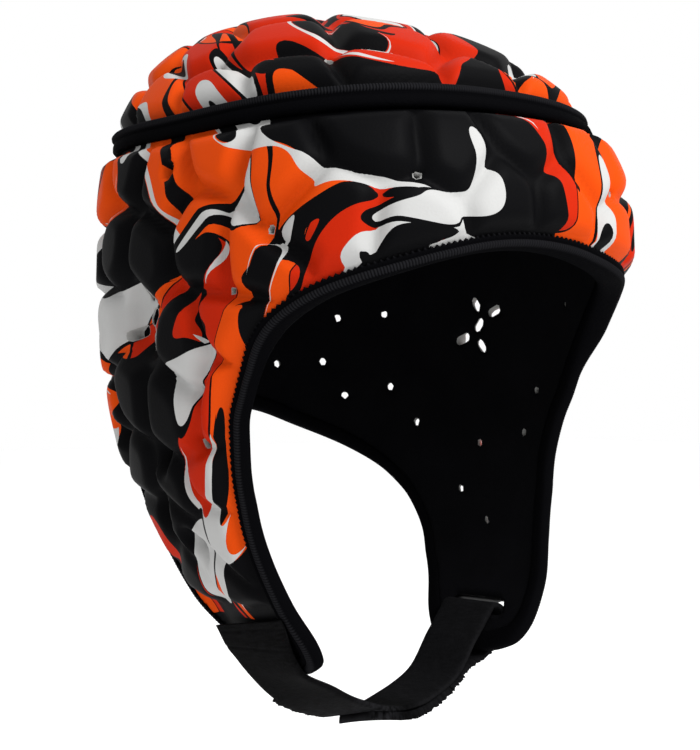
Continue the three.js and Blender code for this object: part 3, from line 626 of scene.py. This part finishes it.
def border(piece):
    """Points on an open edge of the sheet."""
    mesh = piece.data
    ends = np.empty(len(mesh.edges) * 2, int)
    mesh.edges.foreach_get("vertices", ends)
    of_loop = np.empty(len(mesh.loops), int)
    mesh.loops.foreach_get("edge_index", of_loop)
    uses = np.bincount(of_loop, minlength=len(mesh.edges))
    return np.unique(ends.reshape(-1, 2)[uses == 1])


def cut_pattern(name, low, high, step, outline, holes):
    """A flat sheet in millimetres, trimmed to its outline and pierced."""
    low, high = np.array(low, float), np.array(high, float)
    columns, rows = (int(n) for n in np.ceil((high - low) / step))
    piece, share = new_grid(name, columns, rows)
    place(piece, np.column_stack([low + share * (high - low), np.zeros(len(share))]))
    middles = face_middles(piece)[:, :2]
    kept = inside(middles, outline)
    for hole in holes:
        near = np.abs(middles - hole.mean(0)).max(1) < np.ptp(hole, axis=0).max()
        near[near] = inside(middles[near], hole)
        kept &= ~near
    pick_faces(piece, ~kept)
    bpy.ops.mesh.delete(type="FACE")
    leave()
    closed = [np.vstack([line, line[:1]]) for line in (outline, *holes)]
    tree = search_tree(np.vstack([spaced(line, OUTLINE_STEP) for line in closed]))
    flat = coordinates(piece)
    for index in border(piece):
        if abs(flat[index, 0]) < END_X:
            flat[index, :2] = tree.find((flat[index, 0], flat[index, 1], 0))[0][:2]
    place(piece, flat)
    return piece


side_outline = np.vstack([panel_edge, side_seam[::-1]])
side_low = (-HALF_GIRTH, side_outline[:, 1].min())
side_high = (HALF_GIRTH, side_outline[:, 1].max())
side_cover = cut_pattern("side_cover", side_low, side_high, PANEL_STEP, side_outline, side_holes)
crown_outline = crown_seam[:-1]
crown_low, crown_high = crown_seam.min(0), crown_seam.max(0)
crown_cover = cut_pattern(
    "crown_cover", crown_low, crown_high, PANEL_STEP, crown_outline, crown_holes)
print("cells in the flat covers:", len(side_cover.data.polygons), len(crown_cover.data.polygons))

# %% Thickening the covers
WALL_DEPTH = 13.0
WELD = 0.02 * MM
# The flaps are plain black below this height.
PATCH_Z, PATCH_BLEND = -229.0, 6.0


def mark(piece, name, values):
    """Keeps a number at each point, for the finish to read."""
    attribute = piece.data.attributes.new(name, "FLOAT", "POINT")
    attribute.data.foreach_set("value", np.ascontiguousarray(values, np.float32))


def border_like(points, edge):
    """Numbers of the points that lie on the edge in the flat pattern, on both faces of a sheet."""
    on_edge = {tuple(spot) for spot in np.round(edge, 2)}
    return [index for index, spot in enumerate(np.round(points, 2)) if tuple(spot) in on_edge]


def sew_up(piece, fill_ends=False):
    """Welds points that meet, closes open ends if told to, and turns every face outwards."""
    edit(piece)
    bpy.ops.mesh.select_all(action="SELECT")
    bpy.ops.mesh.remove_doubles(threshold=WELD)
    if fill_ends:
        bpy.ops.mesh.fill_holes(sides=0)
        bpy.ops.mesh.select_all(action="SELECT")
    bpy.ops.mesh.normals_make_consistent(inside=False)
    leave()
    bpy.ops.object.shade_smooth()
    print(piece.name, "faces:", len(piece.data.polygons))


def thicken(piece, wrap, outer_depth, inner_depth):
    """Extrudes a flat sheet, and wraps its two faces onto the head form at their depths."""
    rim = border(piece)
    edit(piece)
    bpy.ops.mesh.select_all(action="SELECT")
    bpy.ops.mesh.extrude_region()
    leave()
    inner = np.empty(len(piece.data.vertices), bool)
    piece.data.vertices.foreach_get("select", inner)
    flat = coordinates(piece)[:, :2]
    depth = np.where(inner, inner_depth, 0.0)
    depth[~inner] = outer_depth(flat[~inner])
    pick_faces(piece, np.abs(face_middles(piece)[:, 0]) > END_X)
    bpy.ops.mesh.delete(type="ONLY_FACE")
    leave()
    place(piece, wrap(flat, depth) * MM)
    printed_at = np.clip(0.5 + (flat[:, 1] - PATCH_Z) / PATCH_BLEND, 0, 1)
    cut = np.zeros(len(flat))
    cut[border_like(flat, flat[rim])] = 1
    cut *= (printed_at > 0) & (np.abs(flat[:, 0]) < END_X)
    mark(piece, "printed", printed_at * ~inner)
    mark(piece, "cut", cut)
    sew_up(piece)


thicken(side_cover, side_wall, side_relief, WALL_DEPTH)
thicken(crown_cover, crown_wall, crown_relief, WALL_DEPTH)

# %% [markdown]
# ## Lining
# The inside is covered by a plain thin cloth with the same vents. A shell grown from the covers would
# follow every pad, and the real lining doesn't. So it is cut from the same patterns and wrapped at a
# depth of its own, with larger cells because it has no pads.

# %% Lining
LINING_STEP = 2.4
LINING_OUTER, LINING_INNER = 13.1, 13.7


def lining_depth(flat):
    return np.full(len(flat), LINING_OUTER)


side_lining = cut_pattern(
    "side_lining_cloth", side_low, side_high, LINING_STEP, side_outline, side_holes)
thicken(side_lining, side_wall, lining_depth, LINING_INNER)
crown_lining = cut_pattern(
    "crown_lining_cloth", crown_low, crown_high, LINING_STEP, crown_outline, crown_holes)
thicken(crown_lining, crown_wall, lining_depth, LINING_INNER)

# %% [markdown]
# ## Seam tape
# A raised tape covers the seam between the crown and the side panel. A curve with a bevelled profile
# could follow the seam, but it would twist on the dome and have no ribs. So a grid is rolled into a
# band: its columns are the stations along it, and its rows go round the section. Each point also
# keeps a painted highlight, as its share of a paler colour: ribs and stitches more, folds less.
# On the strap the same share holds its pale pile loops.

# %% Seam tape
# Across the seam and inward from the pad tops: a flat lower fold, a groove, and a ribbed ridge.
SEAM_SECTION = np.array([
    (-4.0, 4.6), (-4.0, 2.6), (-3.2, 1.5), (-1.7, 1.1), (-0.5, 1.1), (0.0, 1.7), (0.4, 0.9),
    (1.0, 0.1), (1.8, -0.3), (2.6, 0.0), (3.3, 0.8), (3.7, 2.0), (3.8, 4.6), (0, 4.7),
])
# The ridge lies further across than this, and less deep.
SEAM_RIDGE_FROM, SEAM_RIDGE_DEPTH = 0.5, 1.5
SEAM_RIB = 0.2
SEAM_STATIONS = 1080


def band(name, rings, highlights_and_pale_threads, closed):
    """A band from rings of points in millimetres: stations, points round the section, xyz."""
    if closed:
        rings, highlights_and_pale_threads = (np.concatenate([table, table[:1]]) for table in (rings, highlights_and_pale_threads))
    rings, highlights_and_pale_threads = (np.concatenate([table, table[:, :1]], axis=1) for table in (rings, highlights_and_pale_threads))
    columns, rows = rings.shape[0] - 1, rings.shape[1] - 1
    piece, share = new_grid(name, columns, rows)
    column, row = np.rint(share * (columns, rows)).astype(int).T
    place(piece, rings[column, row] * MM)
    # Each point's share of the paler colour: a painted highlight on the tapes, pale pile loops on the
    # strap.
    mark(piece, "highlights_and_pale_threads", highlights_and_pale_threads[column, row])
    sew_up(piece, fill_ends=not closed)
    return piece


tape_across, tape_depth = SEAM_SECTION.T
tape_ridge = (tape_across > SEAM_RIDGE_FROM) & (tape_depth < SEAM_RIDGE_DEPTH)
# Every second station is a rib, a little raised, and its ridge points carry a painted highlight.
tape_ribs = np.outer(np.arange(SEAM_STATIONS) % 2, tape_ridge)
tape_angles = np.linspace(-180, 180, SEAM_STATIONS, endpoint=False)[:, None]
tape_rings = wall_point(
    tape_angles, seam_z(tape_angles) + tape_across, tape_depth - SEAM_RIB * tape_ribs)
seam_tape = band("seam_tape", tape_rings, tape_ribs, closed=True)

# %% [markdown]
# ## Edge binding
# A narrow woven binding is folded round every edge and sewn down with a zigzag. It is a band of the
# same kind as the seam tape, because ribs and stitches need points of their own. Its outer face
# follows the lift of the cover's edge, and its lip on the lining stays where it is.

# %% Edge binding
# Across the rim from the panel's edge, and inward from the pad tops: a sewn lip on the cover, a
# ribbed ridge, the fold round the edge, and a lip on the lining.
BINDING_SECTION = np.array([
    (-1.9, 8.6), (-1.9, 8.0), (-0.7, 7.8), (0.1, 8.0), (0.5, 8.5), (0.9, 8.1), (1.5, 7.8),
    (2.2, 7.9), (2.9, 8.4), (3.5, 9.2), (4.0, 10.2), (4.3, 11.4), (4.4, 12.5), (4.1, 13.5),
    (3.4, 14.1), (2.2, 14.4), (0.4, 14.4), (-1.6, 14.3), (-1.8, 13.8), (0.3, 13.8), (0.3, 9.4),
])
BINDING_STEP = 0.55
BINDING_RIDGE_FROM, BINDING_RIDGE_DEPTH = 0.8, 9.0
BINDING_RIB = 0.16
# Each stitch of the zigzag takes four stations, and has a painted highlight at the first.
ZIGZAG = np.array([0.0, 0.5, 1.0, 0.5])
STITCH_SHINE = 0.6
# From the first depth on, the lip stays on the lining. Up to the second, the face follows the cover.
LIP_DEPTH, FACE_DEPTH = 14.0, 9.0

binding_line = spaced(rim_line, BINDING_STEP)[:-1]
binding_line = binding_line[:len(binding_line) // len(ZIGZAG) * len(ZIGZAG)]
whole_turn = (2 * HALF_GIRTH, 0)
binding_out = square_to(np.vstack([
    binding_line[-1:] - whole_turn, binding_line, binding_line[:1] + whole_turn]))[1:-1]
station = np.arange(len(binding_line))
section_across, section_depth = BINDING_SECTION.T
on_lip = section_across == section_across.min()
on_ridge = (section_across > BINDING_RIDGE_FROM) & (section_depth < BINDING_RIDGE_DEPTH)
ribs = np.outer(station % 2, on_ridge)
stitches = np.outer(station % len(ZIGZAG) == 0, on_lip)
binding_across = section_across + np.outer(ZIGZAG[station % len(ZIGZAG)], on_lip)
binding_flat = (binding_line - binding_out * BINDING_WIDTH)[:, None] + (
    binding_out[:, None] * binding_across[:, :, None])
outer_share = np.clip((LIP_DEPTH - section_depth) / (LIP_DEPTH - FACE_DEPTH), 0, 1)
binding_depth = section_depth - BINDING_RIB * ribs - outer_share * edge_lift(binding_flat)
# The binding's ribs and zigzag stitches carry a painted highlight.
edge_binding = band("binding_tape", side_wall(binding_flat, binding_depth),
                    ribs + STITCH_SHINE * stitches, closed=True)

# %% [markdown]
# ## Chin strap
# The strap is sewn to the outside of the right flap. It runs under the chin, up inside the left
# flap, through its slot, and folds back down outside, where its pile holds it. It could be draped by
# simulation, but a thin strap keeps a clean edge when one band follows its line, as wide as the flap
# at its base.

# %% Line of the strap
STRAP_STEP = 0.5
# The sewn base on the right flap: height, and depth.
STRAP_BASE = [(-229, 6.4), (-237, 6.3), (-245, 6.3), (-250, 6.7)]
# Under the chin: place across it, and height.
STRAP_LOOP = [(-36, -255.8), (-20, -262.7), (-5, -265.7), (8, -264), (19.5, -260.2), (30.5, -253.8)]
# Heights on the way up inside the left flap and down outside it, with their depths.
STRAP_RISE, STRAP_INNER_DEPTH = (-252, -247, -242), 18.0
STRAP_FALL, STRAP_OUTER_DEPTH = (-243, -249), 7.1
# How far below the slot the strap turns into it, and how far in the turn starts and has its middle.
TURN_BELOW, TURN_START, TURN_MIDDLE = 1.4, 0.4, 3.4
# The folded end, under the loop: place across the chin, and height.
STRAP_FOLD = [(44, -248.2), (37.2, -250.8), (31, -256.4), (22, -262.2), (14, -265.9), (6, -267.9),
              (-2, -268.4), (-9.6, -267.9)]


def on_flap(side, z, depth):
    return wall_point(side * flap_angle(z), z, depth)[[0, 2]]


strap_points = [
    *(on_flap(-1, z, depth) for z, depth in STRAP_BASE),
    *STRAP_LOOP,
    *(on_flap(1, z, STRAP_INNER_DEPTH) for z in STRAP_RISE),
    on_flap(1, SLOT_Z - TURN_BELOW, STRAP_INNER_DEPTH - TURN_START),
    on_flap(1, SLOT_Z, STRAP_INNER_DEPTH - TURN_MIDDLE),
    on_flap(1, SLOT_Z, STRAP_OUTER_DEPTH + TURN_MIDDLE),
    on_flap(1, SLOT_Z - TURN_BELOW, STRAP_OUTER_DEPTH + TURN_START),
    *(on_flap(1, z, STRAP_OUTER_DEPTH) for z in STRAP_FALL),
    *STRAP_FOLD,
]
strap_line = spaced(curve_through(strap_points, per_span=40), STRAP_STEP)
strap_x, strap_z = strap_line.T
strap_length = STRAP_STEP * (len(strap_line) - 1)
strap_share = np.linspace(0, 1, len(strap_line))
from_base = strap_share * strap_length
from_free_end = (1 - strap_share) * strap_length
folded = np.arange(len(strap_line)) > strap_x.argmax()
print("strap length, mm:", round(strap_length))

# %% Width, tilt and thickness of the strap
STRAP_WIDTH, STRAP_BASE_WIDTH, STRAP_BASE_SHARE = 27.6, 50.0, 0.34
# The free end is rounded over this length, to this share of the width.
FREE_LENGTH, FREE_SHARE = 7.0, 0.7
# The strap lies tilted under the chin. On each side the tilt goes from none to full between two
# places across it.
STRAP_TILT = 0.28
TILT_FADES = [(-58, -32), (16, -18)]
# The sewn end is cut on the slant, and the strap sags at the front end of the slot.
BASE_SLANT, BASE_LENGTH = 0.15, 26.0
SLOT_SAG, SLOT_SAG_X, SLOT_SAG_BLEND = -0.07, 52.0, 6.0
# The sewn end is pressed thin over this length, and lies further forward.
SEWN_LENGTH, SEWN_SHARE, SEWN_SHIFT = 16.0, 0.3, -3.2
# The folded end carries the hook pad, so it thickens between these two places across the chin.
PAD_SHARE, PAD_FROM, PAD_FULL = 1.7, 35.0, 20.0

strap_width = STRAP_BASE_WIDTH + (
    STRAP_WIDTH - STRAP_BASE_WIDTH) * ease(strap_share / STRAP_BASE_SHARE)
strap_width *= FREE_SHARE + (1 - FREE_SHARE) * ease(from_free_end / FREE_LENGTH)
strap_tilt = np.full(len(strap_line), STRAP_TILT)
for none, full in TILT_FADES:
    strap_tilt *= fade(strap_x, none, full)
strap_tilt += BASE_SLANT * ease(1 - from_base / BASE_LENGTH)
strap_tilt += SLOT_SAG * ease((strap_x - SLOT_SAG_X) / SLOT_SAG_BLEND)
loose = ease(from_base / SEWN_LENGTH)
thickness_share = SEWN_SHARE + (1 - SEWN_SHARE) * loose
thickness_share *= 1 + (PAD_SHARE - 1) * folded * fade(strap_x, PAD_FROM, PAD_FULL)
print("strap width from end to end, mm:", strap_width[0], "to", round(strap_width[-1], 1))

# %% Section, pile and stitches of the strap
STRAP_THICKNESS = 2.0
# Round the section: across the width from -1 to 1, and out from the middle from -1 to 1. It is flat
# over this share of its width and has round edges.
FLAT_POINTS, FLAT_SHARE, EDGE_SHARE = 14, 0.97, 0.5
outer_run = [(across, 1.0) for across in np.linspace(-FLAT_SHARE, FLAT_SHARE, FLAT_POINTS)]
half_section = np.array([*outer_run, (1.0, EDGE_SHARE), (1.0, -EDGE_SHARE)])
across_share, out_share = np.vstack([half_section, -half_section]).T
# Its rear edge is a strip of pile, from here along the strap to this far across the chin: how far the
# pile stands out, and how much it frays. The front edge of the folded end frays as much.
PILE_START, PILE_ACROSS, PILE_FADE = 42.0, 4.0, 10.0
PILE_EDGE, FRAY, PILE_SEED = 3.0, 0.7, 5
# Two rows of stitches draw the sewn end in: their places along it, depth and width.
STITCH_ROWS, ROW_DEPTH, ROW_WIDTH = (3.5, 12.5), 0.35, 0.7

chance = np.random.default_rng(PILE_SEED)
piled = (from_base > PILE_START) * ease((PILE_ACROSS - strap_x) / PILE_FADE)
pile = (PILE_EDGE + chance.normal(0, FRAY, len(strap_line)))[:, None]
sideways = across_share * strap_width[:, None] / 2
sideways += pile * piled[:, None] * (across_share >= FLAT_SHARE)
sideways -= (pile - PILE_EDGE) * folded[:, None] * (across_share <= -FLAT_SHARE)
outward = out_share * thickness_share[:, None] * STRAP_THICKNESS / 2
for row in STITCH_ROWS:
    drawn_in = np.exp(-((from_base - row) / ROW_WIDTH) ** 2)
    outward -= ROW_DEPTH * drawn_in[:, None] * (out_share == 1)
print("thickest place of the strap, mm:", round(2 * outward.max(), 1))

# %% Strap
# The flaps close in towards the back, so the strap turns with them: how much, this far across.
STRAP_LEAN, STRAP_LEAN_REACH = 0.095, 55.0
# Share of pale threads all over, and how much paler the strap is made past the pile's end, towards
# the wearer's left.
PALE_SHARE, LEFT_PALENESS = 0.2, 0.22

strap_away = square_to(strap_line)
strap_lean = (STRAP_LEAN * strap_x / STRAP_LEAN_REACH)[:, None]
strap_rings = np.stack([
    strap_x[:, None] + strap_away[:, :1] * outward - strap_lean * sideways,
    STRAP_Y + SEWN_SHIFT * (1 - loose)[:, None] + sideways,
    strap_z[:, None] + strap_away[:, 1:] * outward - strap_tilt[:, None] * sideways,
], -1)
worn = ease((from_base - PILE_START) / PILE_START) * piled
pile_threads = chance.uniform(0, 1, outward.shape) * (PALE_SHARE + (1 - PALE_SHARE) * worn[:, None])
pile_threads += LEFT_PALENESS * ease((strap_x - PILE_ACROSS) / PILE_FADE)[:, None]
chin_strap = band("strap_webbing", strap_rings, pile_threads, closed=False)

# %% [markdown]
# ## Finishes
# Every cloth starts from what it is, and its pattern from a real size in millimetres. Colours are
# written as on a screen and turned to linear light. A value that is the same all over is set on the
# shader itself, and nodes are kept for what varies.

# %% Helpers for finishes


def linear(code):
    """Linear colour of an sRGB hex code."""
    channels = [int(code[i:i + 2], 16) / 255 for i in (1, 3, 5)]
    return (*(c / 12.92 if c <= 0.04045 else ((c + 0.055) / 1.055) ** 2.4 for c in channels), 1.0)


def new_finish(name, **values):
    """A material with its shader's plain values set on their own sockets."""
    finish = bpy.data.materials.new(name)
    finish.use_nodes = True
    shader = finish.node_tree.nodes["Principled BSDF"]
    for socket, value in values.items():
        shader.inputs[socket.replace("_", " ")].default_value = value
    return finish, finish.node_tree, shader


def add(tree, kind, links=None, **settings):
    """Adds a node: its settings, then values or links for its inputs."""
    node = tree.nodes.new(kind)
    for key, value in settings.items():
        setattr(node, key, value)
    for socket, value in (links or {}).items():
        if isinstance(value, bpy.types.NodeSocket):
            tree.links.new(value, node.inputs[socket])
        else:
            node.inputs[socket].default_value = value
    return node


def wear(finish, *pieces):
    for piece in pieces:
        piece.data.materials.clear()
        piece.data.materials.append(finish)
    print(finish.name, "on", [piece.name for piece in pieces])


print("mid grey in linear light:", round(linear("#808080")[0], 3))

# %% [markdown]
# ## Printed cover
# The covers are stretch polyester with a marbled print: red and orange flames, black pools and flow
# lines, and white wisps that taper along the pools. Painting it would need an image. Instead, slow
# noise pushes the place about, as inks are swirled in a bath, and each ink fills a noise past its
# level or follows that level as a line.

# %% Swirled place
# A printed polyester knit is matt, with flat bright inks and sharp borders between them.
BLACK, RED, ORANGE, WHITE = (linear(code) for code in ("#060607", "#951C07", "#AD3808", "#979796"))
FOAM = linear("#828280")
print_finish, tree, shader = new_finish(
    "printed_polyester", Roughness=0.5, Specular_IOR_Level=0.015)
place_at = add(tree, "ShaderNodeTexCoord").outputs["Object"]
# Size and reach of a swirl in mm, and a seed.
SWIRLS = [(120, 200, 9.1), (45, 50, 0.5)]
spot = place_at
for size, reach, seed in SWIRLS:
    push = add(
        tree, "ShaderNodeTexNoise",
        {"Vector": spot, "Scale": 1 / (size * MM), "W": seed, "Detail": 0.0}, noise_dimensions="4D")
    push = add(tree, "ShaderNodeVectorMath", {0: push.outputs["Color"], 1: (0.5, 0.5, 0.5)},
               operation="SUBTRACT")
    push = add(tree, "ShaderNodeVectorMath", {0: push.outputs[0], 1: (reach * MM,) * 3, 2: spot},
               operation="MULTIPLY_ADD")
    spot = push.outputs[0]
# The inks run twice as far along the flow as across it.
FLOW = (1.0, 1.0, 0.5)
spot = add(tree, "ShaderNodeVectorMath", {0: spot, 1: FLOW}, operation="MULTIPLY").outputs[0]
print("swirls:", len(SWIRLS))

# %% Inks
# Patterns of the inks: size in mm, and a seed.
PATTERNS = {
    "heat": (60, 2.2), "pools": (38, 1.9), "lines": (42, 7.7), "drops": (34, 9.4),
    "swell": (40, 4.6),
}
field = {
    name: add(tree, "ShaderNodeTexNoise",
              {"Vector": spot, "Scale": 1 / (size * MM), "W": seed, "Detail": 0.0},
              noise_dimensions="4D").outputs["Fac"]
    for name, (size, seed) in PATTERNS.items()
}
# Inks over the red, in the order they are laid: colour, pattern and level. A line follows its level
# and has two more numbers: how its width grows with the swell, and the width where that is 0.
INKS = [
    (ORANGE, "heat", 0.5),
    (BLACK, "heat", 0.5, 0.0, 0.006),
    (BLACK, "lines", 0.5, 0.14, -0.058),
    (BLACK, "pools", 0.505),
    (WHITE, "pools", 0.49, 0.3, -0.16),
    (BLACK, "drops", 0.69),
    (WHITE, "drops", 0.71),
]
colour = RED
for ink, name, level, *line in INKS:
    if line:
        width = add(tree, "ShaderNodeMath", {0: field["swell"], 1: line[0], 2: line[1]},
                    operation="MULTIPLY_ADD")
        share = add(tree, "ShaderNodeMath", {0: field[name], 1: level, 2: width.outputs[0]},
                    operation="COMPARE")
    else:
        share = add(tree, "ShaderNodeMath", {0: field[name], 1: level}, operation="GREATER_THAN")
    colour = add(tree, "ShaderNodeMix", {0: share.outputs[0], 6: colour, 7: ink},
                 data_type="RGBA").outputs[2]
print("inks laid over the red:", len(INKS))

# %% Plain ends, cut edges and knit
# Over the print: the plain black ends of the flaps, and pale foam in the cut edges of the vents. The
# mark that each reads at a point, which side of a level counts, and its colour.
OVERLAYS = [("printed", "LESS_THAN", 0.5, BLACK), ("cut", "GREATER_THAN", 0.8, FOAM)]
for mark_name, side_of, level, over in OVERLAYS:
    share = add(tree, "ShaderNodeAttribute", attribute_name=mark_name)
    share = add(tree, "ShaderNodeMath", {0: share.outputs["Fac"], 1: level}, operation=side_of)
    colour = add(tree, "ShaderNodeMix", {0: share.outputs[0], 6: colour, 7: over},
                 data_type="RGBA").outputs[2]
tree.links.new(colour, shader.inputs["Base Color"])
# The knit is about 0.4 mm wide. It is drawn 1 mm wide so that it shows. Its height is in mm too.
KNIT_WIDTH, KNIT_HEIGHT, KNIT_STRENGTH = 1.0, 0.3, 0.12
knit = add(tree, "ShaderNodeTexVoronoi", {"Vector": place_at, "Scale": 1 / (KNIT_WIDTH * MM)})
bump = add(tree, "ShaderNodeBump", {
    "Height": knit.outputs["Distance"], "Strength": KNIT_STRENGTH, "Distance": KNIT_HEIGHT * MM})
tree.links.new(bump.outputs["Normal"], shader.inputs["Normal"])
wear(print_finish, side_cover, crown_cover)

# %% [markdown]
# ## Black cloths
# Lining, tapes and strap are all black, so only their surface tells them apart: a soft nap, fine
# ribs, or a worn pile. Ribs and stitches are real points on the bands. The grain between them is
# finer than the mesh, so it is left to bump.

# %% Lining cloth
# Brushed polyester: its raised nap swallows light, so it is deep black with no gloss.
lining_finish, tree, shader = new_finish("brushed_lining", Roughness=1.0, Specular_IOR_Level=0.03)
place_at = add(tree, "ShaderNodeTexCoord").outputs["Object"]
# Worn patches are a little paler. The nap is about 0.3 mm wide, and is drawn wider so that it shows.
PATCH_WIDTH, NAP_WIDTH, NAP_HEIGHT, NAP_STRENGTH = 18.0, 1.1, 0.4, 0.3
patches = add(tree, "ShaderNodeTexNoise", {"Vector": place_at, "Scale": 1 / (PATCH_WIDTH * MM)})
colour = add(
    tree, "ShaderNodeMix",
    {0: patches.outputs["Fac"], 6: linear("#030304"), 7: linear("#08080A")}, data_type="RGBA")
tree.links.new(colour.outputs[2], shader.inputs["Base Color"])
nap = add(tree, "ShaderNodeTexNoise",
          {"Vector": place_at, "Scale": 1 / (NAP_WIDTH * MM), "Detail": 2.0})
bump = add(tree, "ShaderNodeBump", {
    "Height": nap.outputs["Fac"], "Strength": NAP_STRENGTH, "Distance": NAP_HEIGHT * MM})
tree.links.new(bump.outputs["Normal"], shader.inputs["Normal"])
wear(lining_finish, side_lining, crown_lining)

# %% Tapes and webbing
# Woven polyester tape gets a painted highlight, a faint paler line, on each rib and stitch. Nylon
# webbing with loop pile is duller, and shows pale broken loops where it frays. Name, ground, paler
# colour (painted highlight on the tape, pale loops on the webbing), roughness, specular level,
# threads to the millimetre, bump, pieces. Real threads are about three times as fine.
BANDS = [
    ("woven_tape", "#040405", "#19191B", 0.8, 0.004, 0.9, 0.5, (seam_tape, edge_binding)),
    ("loop_webbing", "#030303", "#1C1C1E", 0.9, 0.012, 0.8, 0.6, (chin_strap,)),
]
THREAD_HEIGHT = 0.5
for name, ground, highlight_and_pale_thread, roughness, shine, per_mm, strength, pieces in BANDS:
    finish, tree, shader = new_finish(name, Roughness=roughness, Specular_IOR_Level=shine)
    place_at = add(tree, "ShaderNodeTexCoord").outputs["Object"]
    grain = add(tree, "ShaderNodeTexNoise",
                {"Vector": place_at, "Scale": per_mm / MM, "Detail": 2.0})
    bump = add(tree, "ShaderNodeBump", {
        "Height": grain.outputs["Fac"], "Strength": strength, "Distance": THREAD_HEIGHT * MM})
    tree.links.new(bump.outputs["Normal"], shader.inputs["Normal"])
    # The paler colour goes in by each point's share: a painted highlight on the tapes, pale loops on
    # the webbing.
    share = add(tree, "ShaderNodeAttribute", attribute_name="highlights_and_pale_threads")
    colour = add(
        tree, "ShaderNodeMix",
        {0: share.outputs["Fac"], 6: linear(ground), 7: linear(highlight_and_pale_thread)}, data_type="RGBA")
    tree.links.new(colour.outputs[2], shader.inputs["Base Color"])
    wear(finish, *pieces)

# %% [markdown]
# ## Joining the frame
# Every piece rides on the part's one body and stands for its plain solid. Both covers are padded, and
# their foam fills them tightly.

# %% Joining the frame
PIECES = [
    (side_cover, "side_panel", "printed_cover"),
    (crown_cover, "crown_panel", "printed_cover"),
    (side_lining, "side_lining", "lining"),
    (crown_lining, "crown_lining", "lining"),
    (seam_tape, "crown_seam_tape", "seam_tape"),
    (edge_binding, "edge_binding", "binding"),
    (chin_strap, "chin_strap", "strap"),
]
for piece, node, slot in PIECES:
    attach(piece, "root")
    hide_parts(node)
    print(piece.name, "stands for", node)

# %% [markdown]
# ## Stage
# A pale floor below the guard, a white surround, and soft lamps: a large one from the front and
# above, a weaker one from the wearer's right. Large lamps give the soft shade between the pads.

# %% Stage
FLOOR_SIZE, FLOOR_Z = 12.0, -0.42
SURROUND_STRENGTH = 1.0
# Azimuth, elevation, distance in metres, size in metres, and power in watts.
LAMPS = [(12, 42, 1.6, 0.9, 40), (-50, 60, 1.7, 1.2, 5)]

bpy.ops.object.select_all(action="DESELECT")
bpy.ops.mesh.primitive_plane_add(size=FLOOR_SIZE, location=(0, 0, FLOOR_Z))
floor = bpy.context.object
floor.name = "floor"
# Matt white paint, with no gloss to mirror the guard.
wear(new_finish("pale_floor", Base_Color=linear("#FFFFFF"), Roughness=0.95)[0], floor)

world = bpy.data.worlds.new("white_surround")
bpy.context.scene.world = world
world.use_nodes = True
surround = world.node_tree.nodes["Background"]
surround.inputs["Color"].default_value = linear("#FFFFFF")
surround.inputs["Strength"].default_value = SURROUND_STRENGTH

for azimuth, elevation, distance, size, power in LAMPS:
    away = direction(azimuth, elevation)
    bpy.ops.object.light_add(type="AREA", location=AIM + away * distance)
    lamp = bpy.context.object
    lamp.rotation_euler = away.to_track_quat("Z", "Y").to_euler()
    lamp.data.size = size
    lamp.data.energy = power
bpy.context.scene.view_settings.view_transform = "Standard"
print("lamps:", len(LAMPS))
